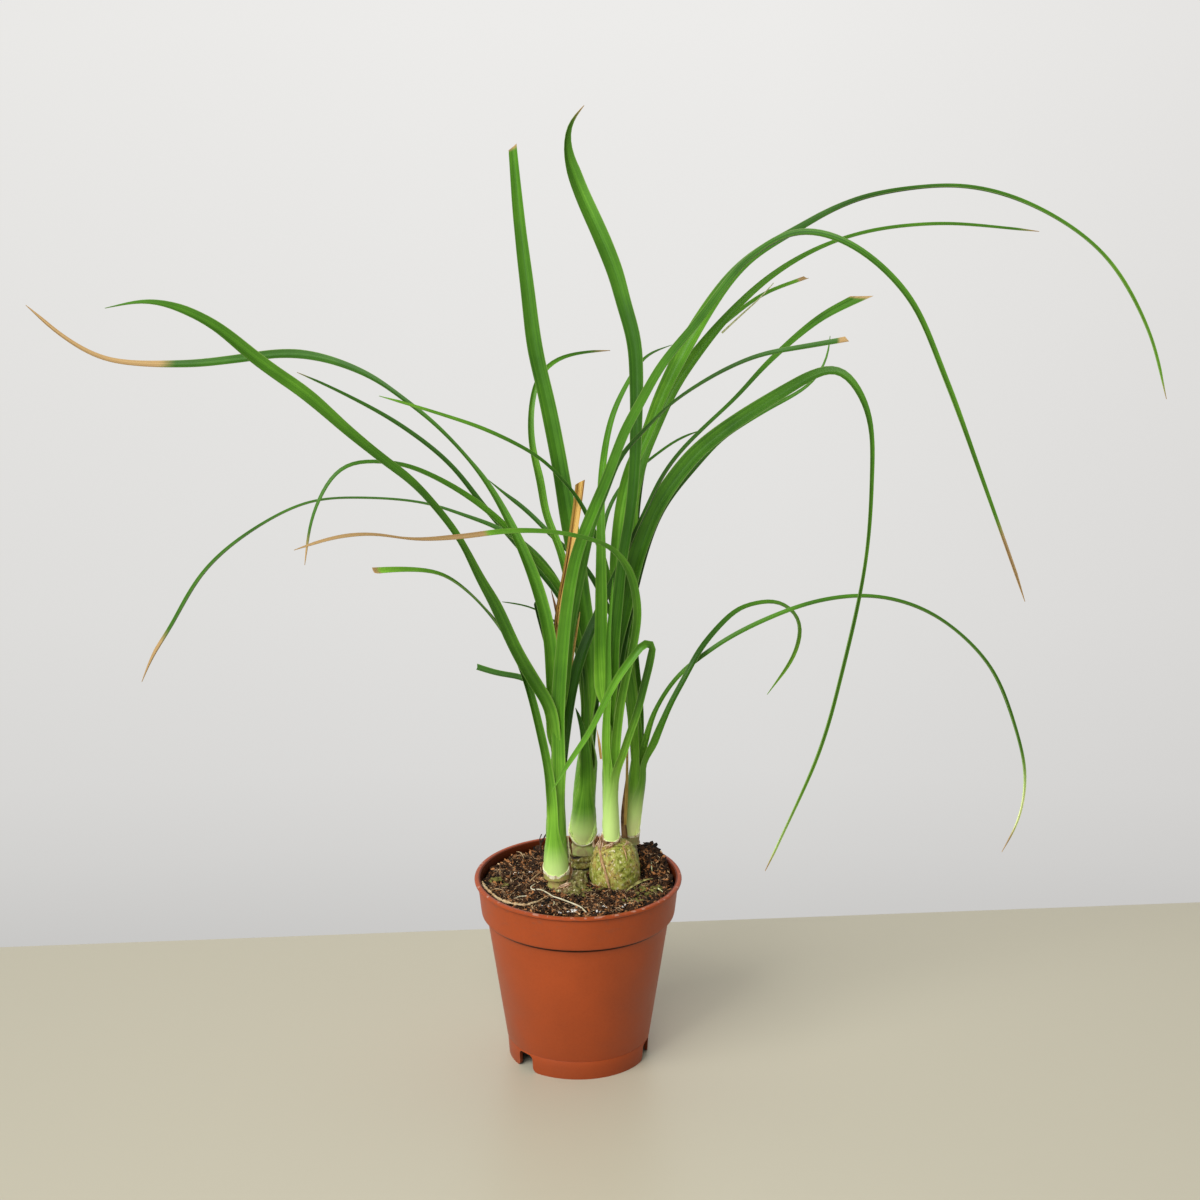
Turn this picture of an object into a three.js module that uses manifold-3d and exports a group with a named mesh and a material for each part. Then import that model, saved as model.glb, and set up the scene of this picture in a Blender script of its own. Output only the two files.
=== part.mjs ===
// A potted ponytail palm: four seedlings with bulbs at their base, in one small nursery pot.
// Millimetres, +Z up. The origin is the middle of the pot's foot, on the ground, and the
// front is the -Y side. Every leaf blade is a folded strip along a curve through its route.

import * as THREE from 'three';
import { mergeVertices } from 'three/addons/utils/BufferGeometryUtils.js';
import Module from 'manifold-3d';

const wasm = await Module();
wasm.setup();

// ---------------------------------------------------------------- driving dimensions
const gap = 0.3; // between pieces that rest on each other
const pot = {
  height: 83,
  lipRadius: 45,
  lipHeight: 1.8,
  bandTop: 43.6,
  bandFoot: 42.1,
  bandDepth: 15.8, // from the top edge down to the foot of the band
  stepDepth: 22, // from the top edge down to the foot of the step under the band
  stepRadius: 39,
  footRadius: 31.3,
  skirtRadius: 30.4,
  floorHeight: 9.2,
  floor: 1.5,
  wall: 1.2,
  sides: 48,
};
const notch = { width: 8.5, height: 8, topRound: 2.2, footRound: 2.4, angles: [-48, 74.5, 193] };
const drain = { radius: 3, ring: 19, count: 4, sides: 16 };
const soil = {
  level: 79,
  heap: { x: 33, y: 21, rise: 8, spread: 9 },
  front: 1.6, // how much higher the soil stands at the front edge
  bump: 0.6,
  rings: 9,
  sectors: 40,
};
const blade = { edge: 0.6, rib: 0.75, fold: 0.16, step: 20 };

// The seedlings: each bulb's middle, radius and heights, and the leaf sheath's route and radii.
const seedlings = {
  left: {
    bulb: { x: -4.5, y: -4, radius: 10.5, foot: 63, top: 82, stub: [-9, -5, 3.7] },
    sheath: [[-9, -5, 83], [-9.5, -5, 90], [-9.5, -5, 102], [-9.5, -5, 120], [-9, -5, 134], [-8, -5, 146]],
    radius: [5.3, 5.6, 4.7, 4.0, 3.6, 1.2],
    collar: { radius: 5.8, foot: 83, height: 3 },
  },
  back: {
    bulb: { x: 3.5, y: 18.5, radius: 7.6, foot: 71, top: 89, stub: [2.5, 18, 3.8] },
    sheath: [[2.5, 18, 90], [2.5, 18, 96], [3, 18, 103], [3, 19, 113], [4, 20, 129], [4, 21, 144]],
    radius: [3.9, 5.8, 5.3, 5.0, 4.5, 1.4],
    collar: { radius: 5.2, foot: 90.2, height: 2.6 },
  },
  middle: {
    bulb: { x: 16, y: 1, radius: 11, foot: 69, top: 97.5, stub: [14.7, 1, 3.6] },
    sheath: [[14.7, 1, 98.6], [14.5, 1, 104], [14.2, 1, 118], [14.2, 1, 130], [14.2, 1, 142], [14.2, 1, 156]],
    radius: [3.5, 3.9, 3.5, 3.6, 3.4, 1.2],
    collar: { radius: 4.0, foot: 98.5, height: 2.6 },
  },
  right: {
    bulb: { x: 20.5, y: 19.5, radius: 7.5, foot: 73, top: 92, stub: [24, 19, 3.1] },
    sheath: [[24, 19, 93], [24.4, 19, 99], [25.7, 19, 110], [26.5, 20, 122], [26, 21, 140]],
    radius: [3.0, 3.5, 3.9, 3.8, 1.2],
    collar: { radius: 3.6, foot: 93, height: 2.4 },
  },
};

// Leaf blades: the middle line from root to tip, the width at even steps along it, and where
// the upper face looks at even steps along it. A cut leaf ends square, the others in a point.
const leftBlades = {
  wideLeft: {
    route: [[-9, -6, 98], [-10, -8, 136], [-12, -12, 164], [-17, -17, 180], [-23, -23, 194],
      [-34, -31, 218], [-40, -36, 231], [-48, -42, 250], [-54, -47, 265], [-65, -52, 281],
      [-90, -60, 300], [-124, -70, 332], [-143, -75, 349], [-164, -79, 358],
      [-181, -81, 356]],
    width: [6.0, 6.2, 5.6, 5.8, 5.6, 3.6, 0.8],
    face: [[0.9, -0.5, 0], [0.3, -0.9, 0.35], [0.1, -0.9, 0.4], [0, -0.85, 0.5], [0, -0.1, 1]],
  },
  longLeft: {
    route: [[-9, -2, 101], [-10, -3, 147], [-11, -2, 170], [-12, -2, 192], [-15, 0, 207],
      [-23, 4, 229], [-38, 12, 257], [-59, 22, 280], [-87, 35, 298], [-106, 45, 302],
      [-124, 54, 302], [-148, 63, 297], [-170, 71, 293], [-207, 84, 292], [-227, 91, 301],
      [-243, 98, 313]],
    width: [6.0, 6.2, 5.4, 3.6, 3.4, 4.6, 3.0, 1.8, 0.7],
    face: [[0.3, -1, 0], [0.4, -0.9, 0.2], [0.5, -0.5, 0.7], [0, -0.3, 0.95], [0, -0.5, 0.9],
      [0, -0.3, 0.9]],
  },
  lowLeft: {
    route: [[-10, -9, 104], [-12, -10, 129], [-15, -12, 153], [-20, -17, 181], [-29, -24, 203],
      [-43, -34, 223], [-56, -44, 236], [-69, -52, 240], [-81, -60, 242]],
    width: [5.0, 4.4, 3.6, 3.2, 3.0, 3.6],
    face: [[0.8, -0.6, 0], [0.5, -0.8, 0.3], [0, -0.2, 1], [0, -0.6, 0.7]],
    cut: true,
  },
  shortLeft: {
    route: [[-9, 0, 118], [-11, 2, 148], [-14, 7, 163], [-22, 15, 168], [-34, 24, 167],
      [-44, 33, 167]],
    width: [4.2, 3.4, 3.2],
    face: [[0.8, 0.2, 0.3], [0.3, -0.6, 0.8], [0.1, -0.6, 0.8]],
    cut: true,
  },
  darkStub: {
    route: [[-9, 2, 118], [-10, 3, 163], [-13, 4, 186], [-16, 4, 198], [-18, 4, 207]],
    width: [4, 2.8, 2.0],
    face: [[1, -0.3, 0], [0.5, -0.8, 0.2]],
    cut: true,
  },
  farArch: {
    route: [[-9, -8, 98], [-8, -9, 136], [-8, -10, 164], [-6, -11, 193], [-4, -13, 212],
      [-1, -15, 230], [3, -17, 244], [12, -22, 268], [16, -25, 280], [20, -29, 292],
      [26, -32, 304], [35, -37, 322], [49, -43, 341], [68, -50, 368], [87, -57, 380],
      [106, -64, 377], [128, -71, 359], [144, -78, 325], [165, -85, 271], [177, -88, 239]],
    width: [5.6, 6.0, 5.2, 4.4, 4.2, 4.0, 3.6, 2.8, 1.8, 0.7],
    face: [[-0.3, -1, 0], [-0.2, -0.95, 0.25], [-0.3, -0.8, 0.5], [-0.1, 0.1, 1],
      [0.6, -0.5, 0.6], [0.8, -0.5, 0.3]],
  },
  cutRight: {
    route: [[-8, -5, 102], [-7, -5, 144], [-5, -5, 171], [-3, -6, 199], [0, -7, 216],
      [3, -9, 231], [7, -11, 248], [12, -14, 261], [18, -18, 277], [29, -24, 292],
      [38, -29, 303], [50, -34, 313], [60, -38, 320], [73, -43, 327], [86, -48, 331],
      [107, -56, 337]],
    width: [6, 6.2, 4.8, 2.8, 2.4, 2.2, 2.6],
    face: [[-0.6, -0.8, 0], [-0.3, -0.9, 0.2], [-0.3, -0.3, 0.9], [0, -0.35, 0.9]],
    cut: true,
  },
  darkRight: {
    route: [[-8, -2, 101], [-6, -2, 135], [-4, -1, 156], [-1, 1, 173], [3, 4, 186], [10, 9, 202],
      [18, 8, 221], [29, 3, 248], [36, 1, 264], [43, -2, 275], [53, -6, 287],
      [66, -13, 302], [78, -20, 318], [99, -30, 340], [114, -37, 350]],
    width: [6.2, 6.4, 5.0, 3.4, 2.6, 2.4, 3.6, 4.0],
    face: [[-0.8, -0.6, 0], [-0.5, -0.8, 0.3], [-0.6, -0.3, 0.8], [-0.4, -0.6, 0.7],
      [-0.2, -0.9, 0.4]],
    cut: true,
  },
};
const backBlades = {
  upright: {
    route: [[3, 20, 110], [5, 22, 138], [5, 24, 160], [4, 25, 180], [2, 26, 198], [0, 27, 215],
      [-3, 28, 230], [-8, 31, 261], [-13, 35, 287], [-18, 39, 309], [-21, 43, 334],
      [-24, 48, 359], [-27, 54, 392]],
    width: [7.2, 7.6, 7.4, 7.0, 6.4, 5.6, 3.6],
    face: [[0.2, -1, 0.1], [0.1, -1, 0.1], [-0.2, -1, 0.1]],
    cut: true,
  },
  hookLeft: {
    route: [[3, 17, 111], [3, 15, 150], [0, 15, 186], [-6, 14, 206], [-13, 13, 217],
      [-21, 12, 226], [-34, 9, 242], [-50, 5, 256], [-72, -1, 269], [-87, -6, 272],
      [-100, -10, 267], [-109, -14, 252], [-113, -18, 231]],
    width: [5.2, 4.6, 3.8, 3.6, 3.2, 2.6, 0.8],
    face: [[0.8, -0.6, 0.1], [0.5, -0.7, 0.5], [0.1, -0.5, 0.85], [-0.2, 0.1, 1],
      [-0.7, -0.6, 0.4]],
  },
  sweepLeft: {
    route: [[2, 21, 110], [2, 23, 156], [-3, 25, 190], [-10, 27, 209], [-21, 31, 222],
      [-34, 37, 229], [-48, 45, 232], [-65, 54, 235], [-92, 66, 234], [-119, 76, 229],
      [-147, 85, 212], [-168, 91, 192], [-185, 96, 162], [-200, 99, 136]],
    width: [5.0, 4.4, 3.2, 2.6, 2.8, 2.6, 2.2, 0.7],
    face: [[0.8, -0.5, 0.2], [0.4, -0.5, 0.7], [0, -0.3, 0.9], [-0.5, -0.3, 0.8],
      [-0.7, -0.5, 0.6]],
  },
  innerLeft: {
    route: [[3, 15, 117], [2, 16, 158], [-2, 16, 194], [-7, 17, 210], [-15, 19, 219],
      [-25, 22, 225]],
    width: [4, 3.2, 0.8],
    face: [[0.7, -0.6, 0.2], [0.4, -0.6, 0.6]],
  },
  thinLeft: {
    route: [[3, 25, 113], [3, 30, 153], [-5, 36, 192], [-22, 43, 214], [-40, 49, 234],
      [-56, 55, 253], [-78, 61, 269], [-103, 66, 282], [-122, 70, 290]],
    width: [4.4, 3.8, 2.6, 2.0, 0.6],
    face: [[0.6, -0.6, 0.3], [0.4, -0.6, 0.7], [0.2, -0.3, 0.9]],
  },
  backHook: {
    route: [[3, 27, 112], [3, 33, 152], [-2, 41, 191], [-9, 48, 219], [-14, 51, 230],
      [-17, 55, 246], [-20, 58, 257], [-21, 62, 268], [-20, 66, 279], [-17, 71, 288],
      [-9, 77, 294], [2, 84, 295], [14, 92, 294]],
    width: [5.2, 4.4, 3.4, 2.6, 1.8, 0.7],
    face: [[0.3, -0.9, 0.2], [0.2, -0.9, 0.2], [0.5, -0.6, 0.4], [0.1, -0.1, 1]],
  },
  backRight: {
    route: [[4, 27, 112], [6, 29, 154], [9, 31, 190], [10, 33, 214], [12, 38, 234],
      [19, 46, 246], [32, 57, 255], [45, 65, 262], [54, 70, 264]],
    width: [4.6, 3.6, 2.4, 1.8, 0.6],
    face: [[-0.3, -0.9, 0.1], [-0.5, -0.8, 0.3], [-0.3, -0.4, 0.9]],
  },
  hair: {
    route: [[3, 15, 122], [3, 13, 164], [0, 12, 184], [-9, 12, 195], [-19, 9, 203],
      [-32, 5, 207]],
    width: [3, 2, 1.2, 0.7],
    face: [[0.6, -0.6, 0.3], [0.2, -0.4, 0.9]],
  },
  shortPoint: {
    route: [[2, 14, 113], [3, 12, 132], [2, 11, 146], [-1, 10, 157]],
    width: [5.5, 4.6, 1.0],
    face: [[0.4, -0.9, 0.1], [0.6, -0.8, 0.1]],
  },
  shortBack: {
    route: [[3, 27, 107], [5, 30, 134], [7, 33, 152], [9, 37, 171], [10, 42, 195]],
    width: [6.2, 5.2, 1.2],
    face: [[-0.3, -0.95, 0.1], [-0.3, -0.95, 0.1]],
  },
};
const middleBlades = {
  paleMiddle: {
    route: [[14, 0, 118], [12, 0, 144], [11, 0, 167], [10, 0, 189], [10, 0, 210], [10, 3, 231],
      [10, 8, 250], [11, 13, 266], [15, 20, 285], [22, 28, 298], [28, 34, 306],
      [34, 39, 308], [40, 44, 309]],
    width: [6.0, 6.4, 5.2, 3.6, 3.0, 2.2, 0.7],
    face: [[-0.1, -1, 0.1], [0, -1, 0.1], [-0.3, -0.9, 0.3], [-0.1, 0.0, 1]],
  },
  twisted: {
    route: [[14, 2, 118], [14, 3, 150], [15, 3, 186], [18, 3, 213], [20, 3, 231], [22, 4, 242],
      [24, 7, 259], [25, 11, 285], [25, 15, 301], [24, 18, 317], [19, 22, 334],
      [10, 27, 359], [0, 31, 380], [-5, 33, 395], [-4, 34, 405], [3, 35, 413]],
    width: [5.8, 6.0, 5.2, 4.6, 5.2, 6.2, 6.8, 6.8, 5.6, 0.8],
    face: [[0.3, -1, 0.1], [-0.5, -0.9, 0.1], [-0.3, -0.95, 0.1], [0.1, -1, 0.1],
      [0.9, -0.6, 0.1]],
  },
  wideRight: {
    route: [[15, 3, 117], [15, 4, 154], [16, 6, 183], [21, 9, 205], [26, 12, 226], [34, 14, 247],
      [46, 14, 266], [52, 13, 273], [61, 11, 283], [71, 8, 290], [80, 4, 298],
      [95, -1, 307], [102, -4, 311], [107, -6, 312], [111, -8, 310], [116, -10, 304],
      [119, -12, 296], [121, -14, 286], [121, -18, 268], [119, -23, 235], [111, -28, 193],
      [101, -34, 155], [79, -41, 103]],
    width: [6.2, 7.4, 8.2, 7.4, 5.4, 3.0, 2.6, 2.2, 1.7, 0.6],
    face: [[-0.6, -0.8, 0.1], [-0.4, -0.9, 0.3], [-0.3, -0.9, 0.4], [0.2, -0.5, 0.8],
      [0.8, -0.6, 0.3], [0.8, -0.6, 0.1], [0.8, -0.6, 0]],
  },
  underRight: {
    route: [[15, 2, 104], [16, 6, 118], [16, 8, 161], [23, 13, 205], [35, 20, 242], [52, 22, 264],
      [61, 22, 274], [70, 23, 280], [81, 23, 287], [89, 24, 291], [97, 24, 296],
      [101, 25, 300], [104, 26, 305], [106, 27, 311], [106, 28, 317]],
    width: [5.6, 5.6, 4.8, 3.8, 2.4, 0.7],
    face: [[-0.6, -0.8, 0.1], [-0.4, -0.9, 0.2], [-0.2, -0.6, 0.8], [-0.8, -0.5, 0]],
  },
  folded: {
    route: [[16, -3, 120], [17, -5, 134], [21, -8, 150], [24, -12, 164], [28, -16, 179],
      [31, -19, 189], [32, -21, 196], [30, -23, 199], [26, -25, 197], [17, -26, 184],
      [6, -26, 161], [-5, -25, 143], [-11, -24, 132]],
    width: [5.0, 4.0, 3.4, 3.3, 3.6, 3.4, 3.0, 2.2, 0.6],
    face: [[0.6, -0.8, 0.1], [0.9, -0.4, 0.2], [0.6, -0.6, 0.5], [-0.6, -0.8, 0.4],
      [-0.4, -0.9, 0.3]],
  },
  browning: {
    route: [[15, -2, 119], [16, -4, 152], [19, -7, 174], [23, -10, 193], [25, -14, 209],
      [24, -17, 219], [22, -20, 228], [18, -24, 236], [13, -28, 242], [7, -32, 246],
      [-8, -40, 252], [-28, -51, 256], [-47, -62, 257], [-64, -71, 259], [-80, -79, 264],
      [-94, -86, 265], [-110, -93, 262]],
    width: [5.0, 4.6, 3.9, 3.2, 2.6, 2.8, 2.6, 2.0, 0.6],
    face: [[0.5, -0.9, 0.1], [0.6, -0.8, 0.2], [-0.2, -0.5, 0.85], [0, -0.45, 0.9],
      [0, -0.5, 0.85]],
  },
  palePoint: {
    route: [[14, -3, 120], [12, -5, 148], [13, -7, 172], [13, -9, 195], [14, -9, 210],
      [15, -8, 222]],
    width: [5.4, 4.6, 0.8],
    face: [[-0.2, -1, 0], [0.1, -1, 0]],
  },
};
const rightBlades = {
  highArch: {
    route: [[25, 19, 111], [24, 21, 138], [22, 24, 165], [18, 27, 191], [16, 29, 213],
      [17, 31, 229], [19, 33, 243], [23, 35, 258], [30, 37, 272], [34, 39, 283],
      [39, 41, 294], [53, 46, 319], [72, 51, 343], [95, 55, 357], [124, 58, 371],
      [162, 59, 374], [193, 56, 366], [222, 50, 347], [241, 41, 317], [249, 30, 289]],
    width: [5.6, 6.0, 5.0, 5.0, 6.2, 5.4, 4.2, 3.4, 2.8, 2.0, 0.7],
    face: [[-0.3, -1, 0.1], [0.1, -1, 0.1], [-0.3, -0.9, 0.3], [-0.2, -0.4, 0.9], [0, 0, 1],
      [0.5, 0.0, 0.9], [0.9, -0.4, 0.4]],
  },
  levelArch: {
    route: [[26, 22, 109], [26, 25, 134], [23, 30, 158], [21, 34, 179], [21, 38, 206],
      [23, 40, 226], [26, 42, 237], [29, 43, 248], [33, 45, 259], [36, 46, 270],
      [40, 48, 281], [45, 51, 291], [62, 58, 315], [82, 64, 333], [104, 70, 345],
      [125, 75, 351], [156, 81, 353], [200, 89, 348]],
    width: [5.6, 6, 6, 5.8, 4.4, 3.0, 2.4, 1.6, 0.6],
    face: [[-0.3, -1, 0.1], [0.1, -1, 0.1], [-0.3, -0.9, 0.3], [-0.1, -0.3, 0.95], [0, -0.2, 1]],
  },
  cutArch: {
    route: [[26, 20, 101], [26, 25, 115], [27, 30, 144], [24, 36, 179], [25, 42, 213], [33, 47, 257],
      [48, 56, 290], [66, 67, 314], [80, 76, 323], [99, 82, 329]],
    width: [4.2, 3.8, 2.8, 1.6, 1.4],
    face: [[-0.3, -1, 0.1], [0, -1, 0.1], [-0.3, -0.4, 0.9], [-0.1, -0.3, 0.95]],
    cut: true,
  },
  acrossLeft: {
    route: [[25, 17, 111], [24, 17, 142], [22, 17, 167], [18, 17, 186], [14, 17, 206],
      [11, 17, 221], [6, 14, 237], [1, 12, 249], [-6, 10, 259], [-16, 7, 270],
      [-37, 2, 283], [-57, -4, 292], [-81, -12, 302]],
    width: [4.6, 4.2, 3.2, 2.2, 1.8, 0.6],
    face: [[0.5, -0.9, 0.1], [0.4, -0.8, 0.4], [0.3, -0.6, 0.7], [0.1, -0.3, 0.95]],
  },
  backLeft: {
    route: [[26, 21, 100], [26, 28, 116], [25, 36, 141], [20, 43, 172], [12, 49, 190], [3, 53, 206],
      [-10, 58, 217], [-23, 64, 229], [-32, 68, 235], [-40, 72, 241]],
    width: [4.2, 3.8, 2.8, 2.0, 0.7],
    face: [[0.4, -0.9, 0.1], [0.4, -0.6, 0.7], [0.2, -0.3, 0.95]],
  },
  lowArch: {
    route: [[27, 18, 111], [29, 18, 125], [33, 20, 139], [40, 22, 153], [47, 24, 165],
      [55, 27, 175], [66, 30, 183], [80, 33, 190], [105, 38, 197], [131, 43, 197],
      [156, 47, 186], [180, 50, 163], [193, 51, 134], [199, 51, 109], [197, 50, 89],
      [190, 49, 73]],
    width: [5.2, 4.6, 3.8, 3.2, 2.8, 2.6, 2.0, 0.6],
    face: [[-0.5, -0.7, 0.3], [-0.3, -0.5, 0.8], [0.1, -0.1, 1], [0.7, -0.1, 0.7],
      [0.9, -0.5, 0]],
  },
  lowHook: {
    route: [[26, 22, 114], [28, 24, 132], [32, 27, 145], [40, 32, 157], [48, 36, 168],
      [56, 40, 177], [73, 46, 190], [87, 51, 192], [97, 55, 182], [96, 58, 166],
      [84, 61, 144]],
    width: [4.4, 3.6, 2.8, 2.4, 1.8, 0.6],
    face: [[-0.5, -0.7, 0.3], [-0.3, -0.4, 0.85], [0.2, -0.1, 1], [0.8, -0.5, 0.2]],
  },
};
const dryBlades = {
  straw: {
    route: [[-11, 6, 162], [-10, 6, 183], [-9, 5, 198], [-7, 7, 209], [-4, 10, 223],
      [-2, 13, 235], [1, 16, 249], [2, 18, 256]],
    width: [1.4, 2.2, 3.2, 3.2, 2.6],
    face: [[0.3, -0.9, 0.1], [0.1, -1, 0.1]],
    cut: true,
  },
};

// Roots on the soil and the bulb, and bits of wood in the soil: [x, y] routes on the ground.
const creamRoot = [[-40, 1], [-38, -9], [-34, -17], [-30, -22], [-25, -24.5], [-20, -23], [-16, -17]];
const whiteRoot = [[-19, -3], [-20.5, -7], [-17, -9], [-11, -14.5], [-7, -20], [-2, -27], [2, -33.5]];
const stickRoute = [[-23, 0], [-20, 8], [-17, 15]];
const twig = { route: [[-16.5, 28, 0], [-17.2, 28.2, 7], [-18.4, 28, 13.5]], radius: 0.6 }; // above the soil

// ---------------------------------------------------------------- helpers
function material(color, roughness) {
  return new THREE.MeshStandardMaterial({ color, roughness, metalness: 0 });
}

function weld(geometry) {
  geometry.deleteAttribute('normal');
  geometry.deleteAttribute('uv');
  const merged = mergeVertices(geometry, 1e-4);
  const index = merged.getIndex().array;
  const kept = [];
  for (let i = 0; i < index.length; i += 3) {
    const [a, b, c] = [index[i], index[i + 1], index[i + 2]];
    if (a !== b && b !== c && c !== a) kept.push(a, b, c);
  }
  merged.setIndex(kept);
  return merged;
}

function signedVolume(geometry) {
  const p = geometry.getAttribute('position');
  const index = geometry.getIndex().array;
  const [a, b, c] = [new THREE.Vector3(), new THREE.Vector3(), new THREE.Vector3()];
  let total = 0;
  for (let i = 0; i < index.length; i += 3) {
    a.fromBufferAttribute(p, index[i]);
    b.fromBufferAttribute(p, index[i + 1]);
    c.fromBufferAttribute(p, index[i + 2]);
    total += a.dot(b.cross(c));
  }
  return total / 6;
}

// A welded closed surface as a solid with its faces pointing out.
function solid(geometry) {
  const welded = weld(geometry);
  const index = Uint32Array.from(welded.getIndex().array);
  if (signedVolume(welded) < 0) {
    for (let i = 0; i < index.length; i += 3) [index[i], index[i + 1]] = [index[i + 1], index[i]];
  }
  const mesh = new wasm.Mesh({
    numProp: 3,
    vertProperties: Float32Array.from(welded.getAttribute('position').array),
    triVerts: index,
  });
  return new wasm.Manifold(mesh);
}

function geometryOf(body) {
  const mesh = body.getMesh();
  const geometry = new THREE.BufferGeometry();
  geometry.setAttribute('position', new THREE.BufferAttribute(Float32Array.from(mesh.vertProperties), 3));
  geometry.setIndex(Array.from(mesh.triVerts));
  geometry.computeVertexNormals();
  return geometry;
}

function named(name, body, finish) {
  const mesh = new THREE.Mesh(geometryOf(body), finish);
  mesh.name = name;
  return mesh;
}

function vectors(list) {
  return list.map(([x, y, z]) => new THREE.Vector3(x, y, z));
}

// The value at u (0 to 1) of a list of numbers or vectors spread evenly from 0 to 1.
function along(list, u) {
  const x = u * (list.length - 1);
  const i = Math.min(Math.floor(x), list.length - 2);
  const w = x - i;
  if (typeof list[0] === 'number') return list[i] * (1 - w) + list[i + 1] * w;
  return list[i].clone().lerp(list[i + 1], w);
}

// Joins rings of points into one closed surface with a fan or a strip over each end.
function skin(rings, caps) {
  const sides = rings[0].length;
  const index = [];
  for (let r = 0; r + 1 < rings.length; r += 1) {
    for (let s = 0; s < sides; s += 1) {
      const a = r * sides + s;
      const b = r * sides + ((s + 1) % sides);
      // the strips of the lower face are split like the upper ones that they lie under
      if (caps && s >= sides / 2) index.push(a, b, a + sides, b, b + sides, a + sides);
      else index.push(a, b, b + sides, a, b + sides, a + sides);
    }
  }
  const last = (rings.length - 1) * sides;
  const fan = caps ?? Array.from({ length: sides - 2 }, (_, k) => [0, k + 1, k + 2]);
  for (const [a, b, c] of fan) index.push(a, c, b, last + a, last + b, last + c);
  const geometry = new THREE.BufferGeometry();
  const flat = rings.flat().flatMap((p) => [p.x, p.y, p.z]);
  geometry.setAttribute('position', new THREE.Float32BufferAttribute(flat, 3));
  geometry.setIndex(index);
  return geometry;
}

// Points along a curve through the route, closer where the route's own points are closer.
function stations(route, step) {
  const curve = new THREE.CatmullRomCurve3(vectors(route));
  const spans = route.length - 1;
  const stops = [];
  for (let i = 0; i < spans; i += 1) {
    const length = curve.points[i].distanceTo(curve.points[i + 1]);
    const parts = Math.max(1, Math.min(4, Math.round(length / step)));
    for (let k = 0; k < parts; k += 1) stops.push((i + k / parts) / spans);
  }
  stops.push(1);
  const points = stops.map((t) => curve.getPoint(t));
  const tangents = stops.map((t) => curve.getTangent(t));
  const lengths = [0];
  for (let i = 1; i < points.length; i += 1) {
    lengths.push(lengths[i - 1] + points[i].distanceTo(points[i - 1]));
  }
  return points.map((point, i) => ({ point, tangent: tangents[i], u: lengths[i] / lengths.at(-1) }));
}

// ---------------------------------------------------------------- leaves and sheaths
// A blade is folded along its rib, so its section is a shallow V of six points.
const bladeEnds = [[0, 1, 4], [0, 4, 5], [1, 2, 3], [1, 3, 4]];

function bladeSolid({ route, width, face }) {
  const faces = vectors(face);
  const rings = stations(route, blade.step).map(({ point, tangent, u }) => {
    const up = along(faces, u);
    up.addScaledVector(tangent, -up.dot(tangent)).normalize();
    const side = new THREE.Vector3().crossVectors(tangent, up);
    const half = along(width, u) / 2;
    const lift = 2 * half * blade.fold;
    const at = (s, n) => point.clone().addScaledVector(side, s).addScaledVector(up, n);
    return [
      at(-half, lift), at(0, 0), at(half, lift),
      at(half, lift - blade.edge), at(0, -blade.rib), at(-half, lift - blade.edge),
    ];
  });
  return solid(skin(rings, bladeEnds));
}

// The rolled leaf bases: a round stem that narrows where the blades part.
function sheathSolid({ sheath, radius }) {
  const sides = 14;
  const rings = stations(sheath, blade.step).map(({ point, u }) => {
    const r = along(radius, u);
    return Array.from({ length: sides }, (_, s) => {
      const angle = (2 * Math.PI * s) / sides;
      return new THREE.Vector3(point.x + r * Math.cos(angle), point.y + r * Math.sin(angle), point.z);
    });
  });
  return solid(skin(rings));
}

// The blades and sheath as one body, with the small hollows between the leaf roots filled.
function shootSolid(seedling, blades) {
  const bodies = Object.values(blades).map(bladeSolid);
  const whole = bodies.reduce((sum, body) => sum.add(body), sheathSolid(seedling));
  const shells = whole.decompose().filter((shell) => shell.volume() > 0);
  return shells.reduce((sum, shell) => sum.add(shell)).simplify(0.06);
}

// ---------------------------------------------------------------- pot
function lathe(profile, sides) {
  const outline = profile.map(([r, z]) => new THREE.Vector2(r, z));
  return new THREE.LatheGeometry(outline, sides).rotateX(Math.PI / 2);
}

function potWall() {
  const top = pot.height;
  const bandFoot = top - pot.bandDepth;
  const stepFoot = top - pot.stepDepth;
  const lipFoot = top - pot.lipHeight;
  return {
    outside: [
      [pot.skirtRadius, 0], [pot.footRadius - 0.3, pot.floorHeight - 0.8], [pot.footRadius, pot.floorHeight],
      [pot.stepRadius, stepFoot], [pot.stepRadius + 0.9, stepFoot + 1.6],
      [pot.bandFoot - 0.8, bandFoot - 1.9], [pot.bandFoot, bandFoot], [pot.bandTop, lipFoot],
      [pot.lipRadius - 0.4, lipFoot + 0.2], [pot.lipRadius, lipFoot + 0.8], [pot.lipRadius, top - 0.5],
      [pot.lipRadius - 0.5, top], [pot.bandTop - 0.3, top],
    ],
    inside: [
      [pot.bandTop - pot.wall, top - 0.8], [pot.bandFoot - pot.wall, bandFoot + 0.3],
      [pot.bandFoot - 0.8 - pot.wall, bandFoot - 1.6], [pot.stepRadius + 0.9 - pot.wall, stepFoot + 1.9],
      [pot.stepRadius - pot.wall, stepFoot + 0.3], [pot.footRadius - pot.wall, pot.floorHeight + pot.floor],
    ],
  };
}

function potSolid() {
  const wall = potWall();
  const skirtInside = pot.skirtRadius - pot.wall;
  const profile = [
    [0, pot.floorHeight], [skirtInside + 0.1, pot.floorHeight], [skirtInside, 0],
    ...wall.outside, ...wall.inside, [0, pot.floorHeight + pot.floor],
  ];
  let body = solid(lathe(profile, pot.sides));
  for (const angle of notch.angles) body = body.subtract(notchSolid(angle));
  for (let i = 0; i < drain.count; i += 1) body = body.subtract(drainSolid((i + 0.5) / drain.count));
  return body;
}

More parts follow.
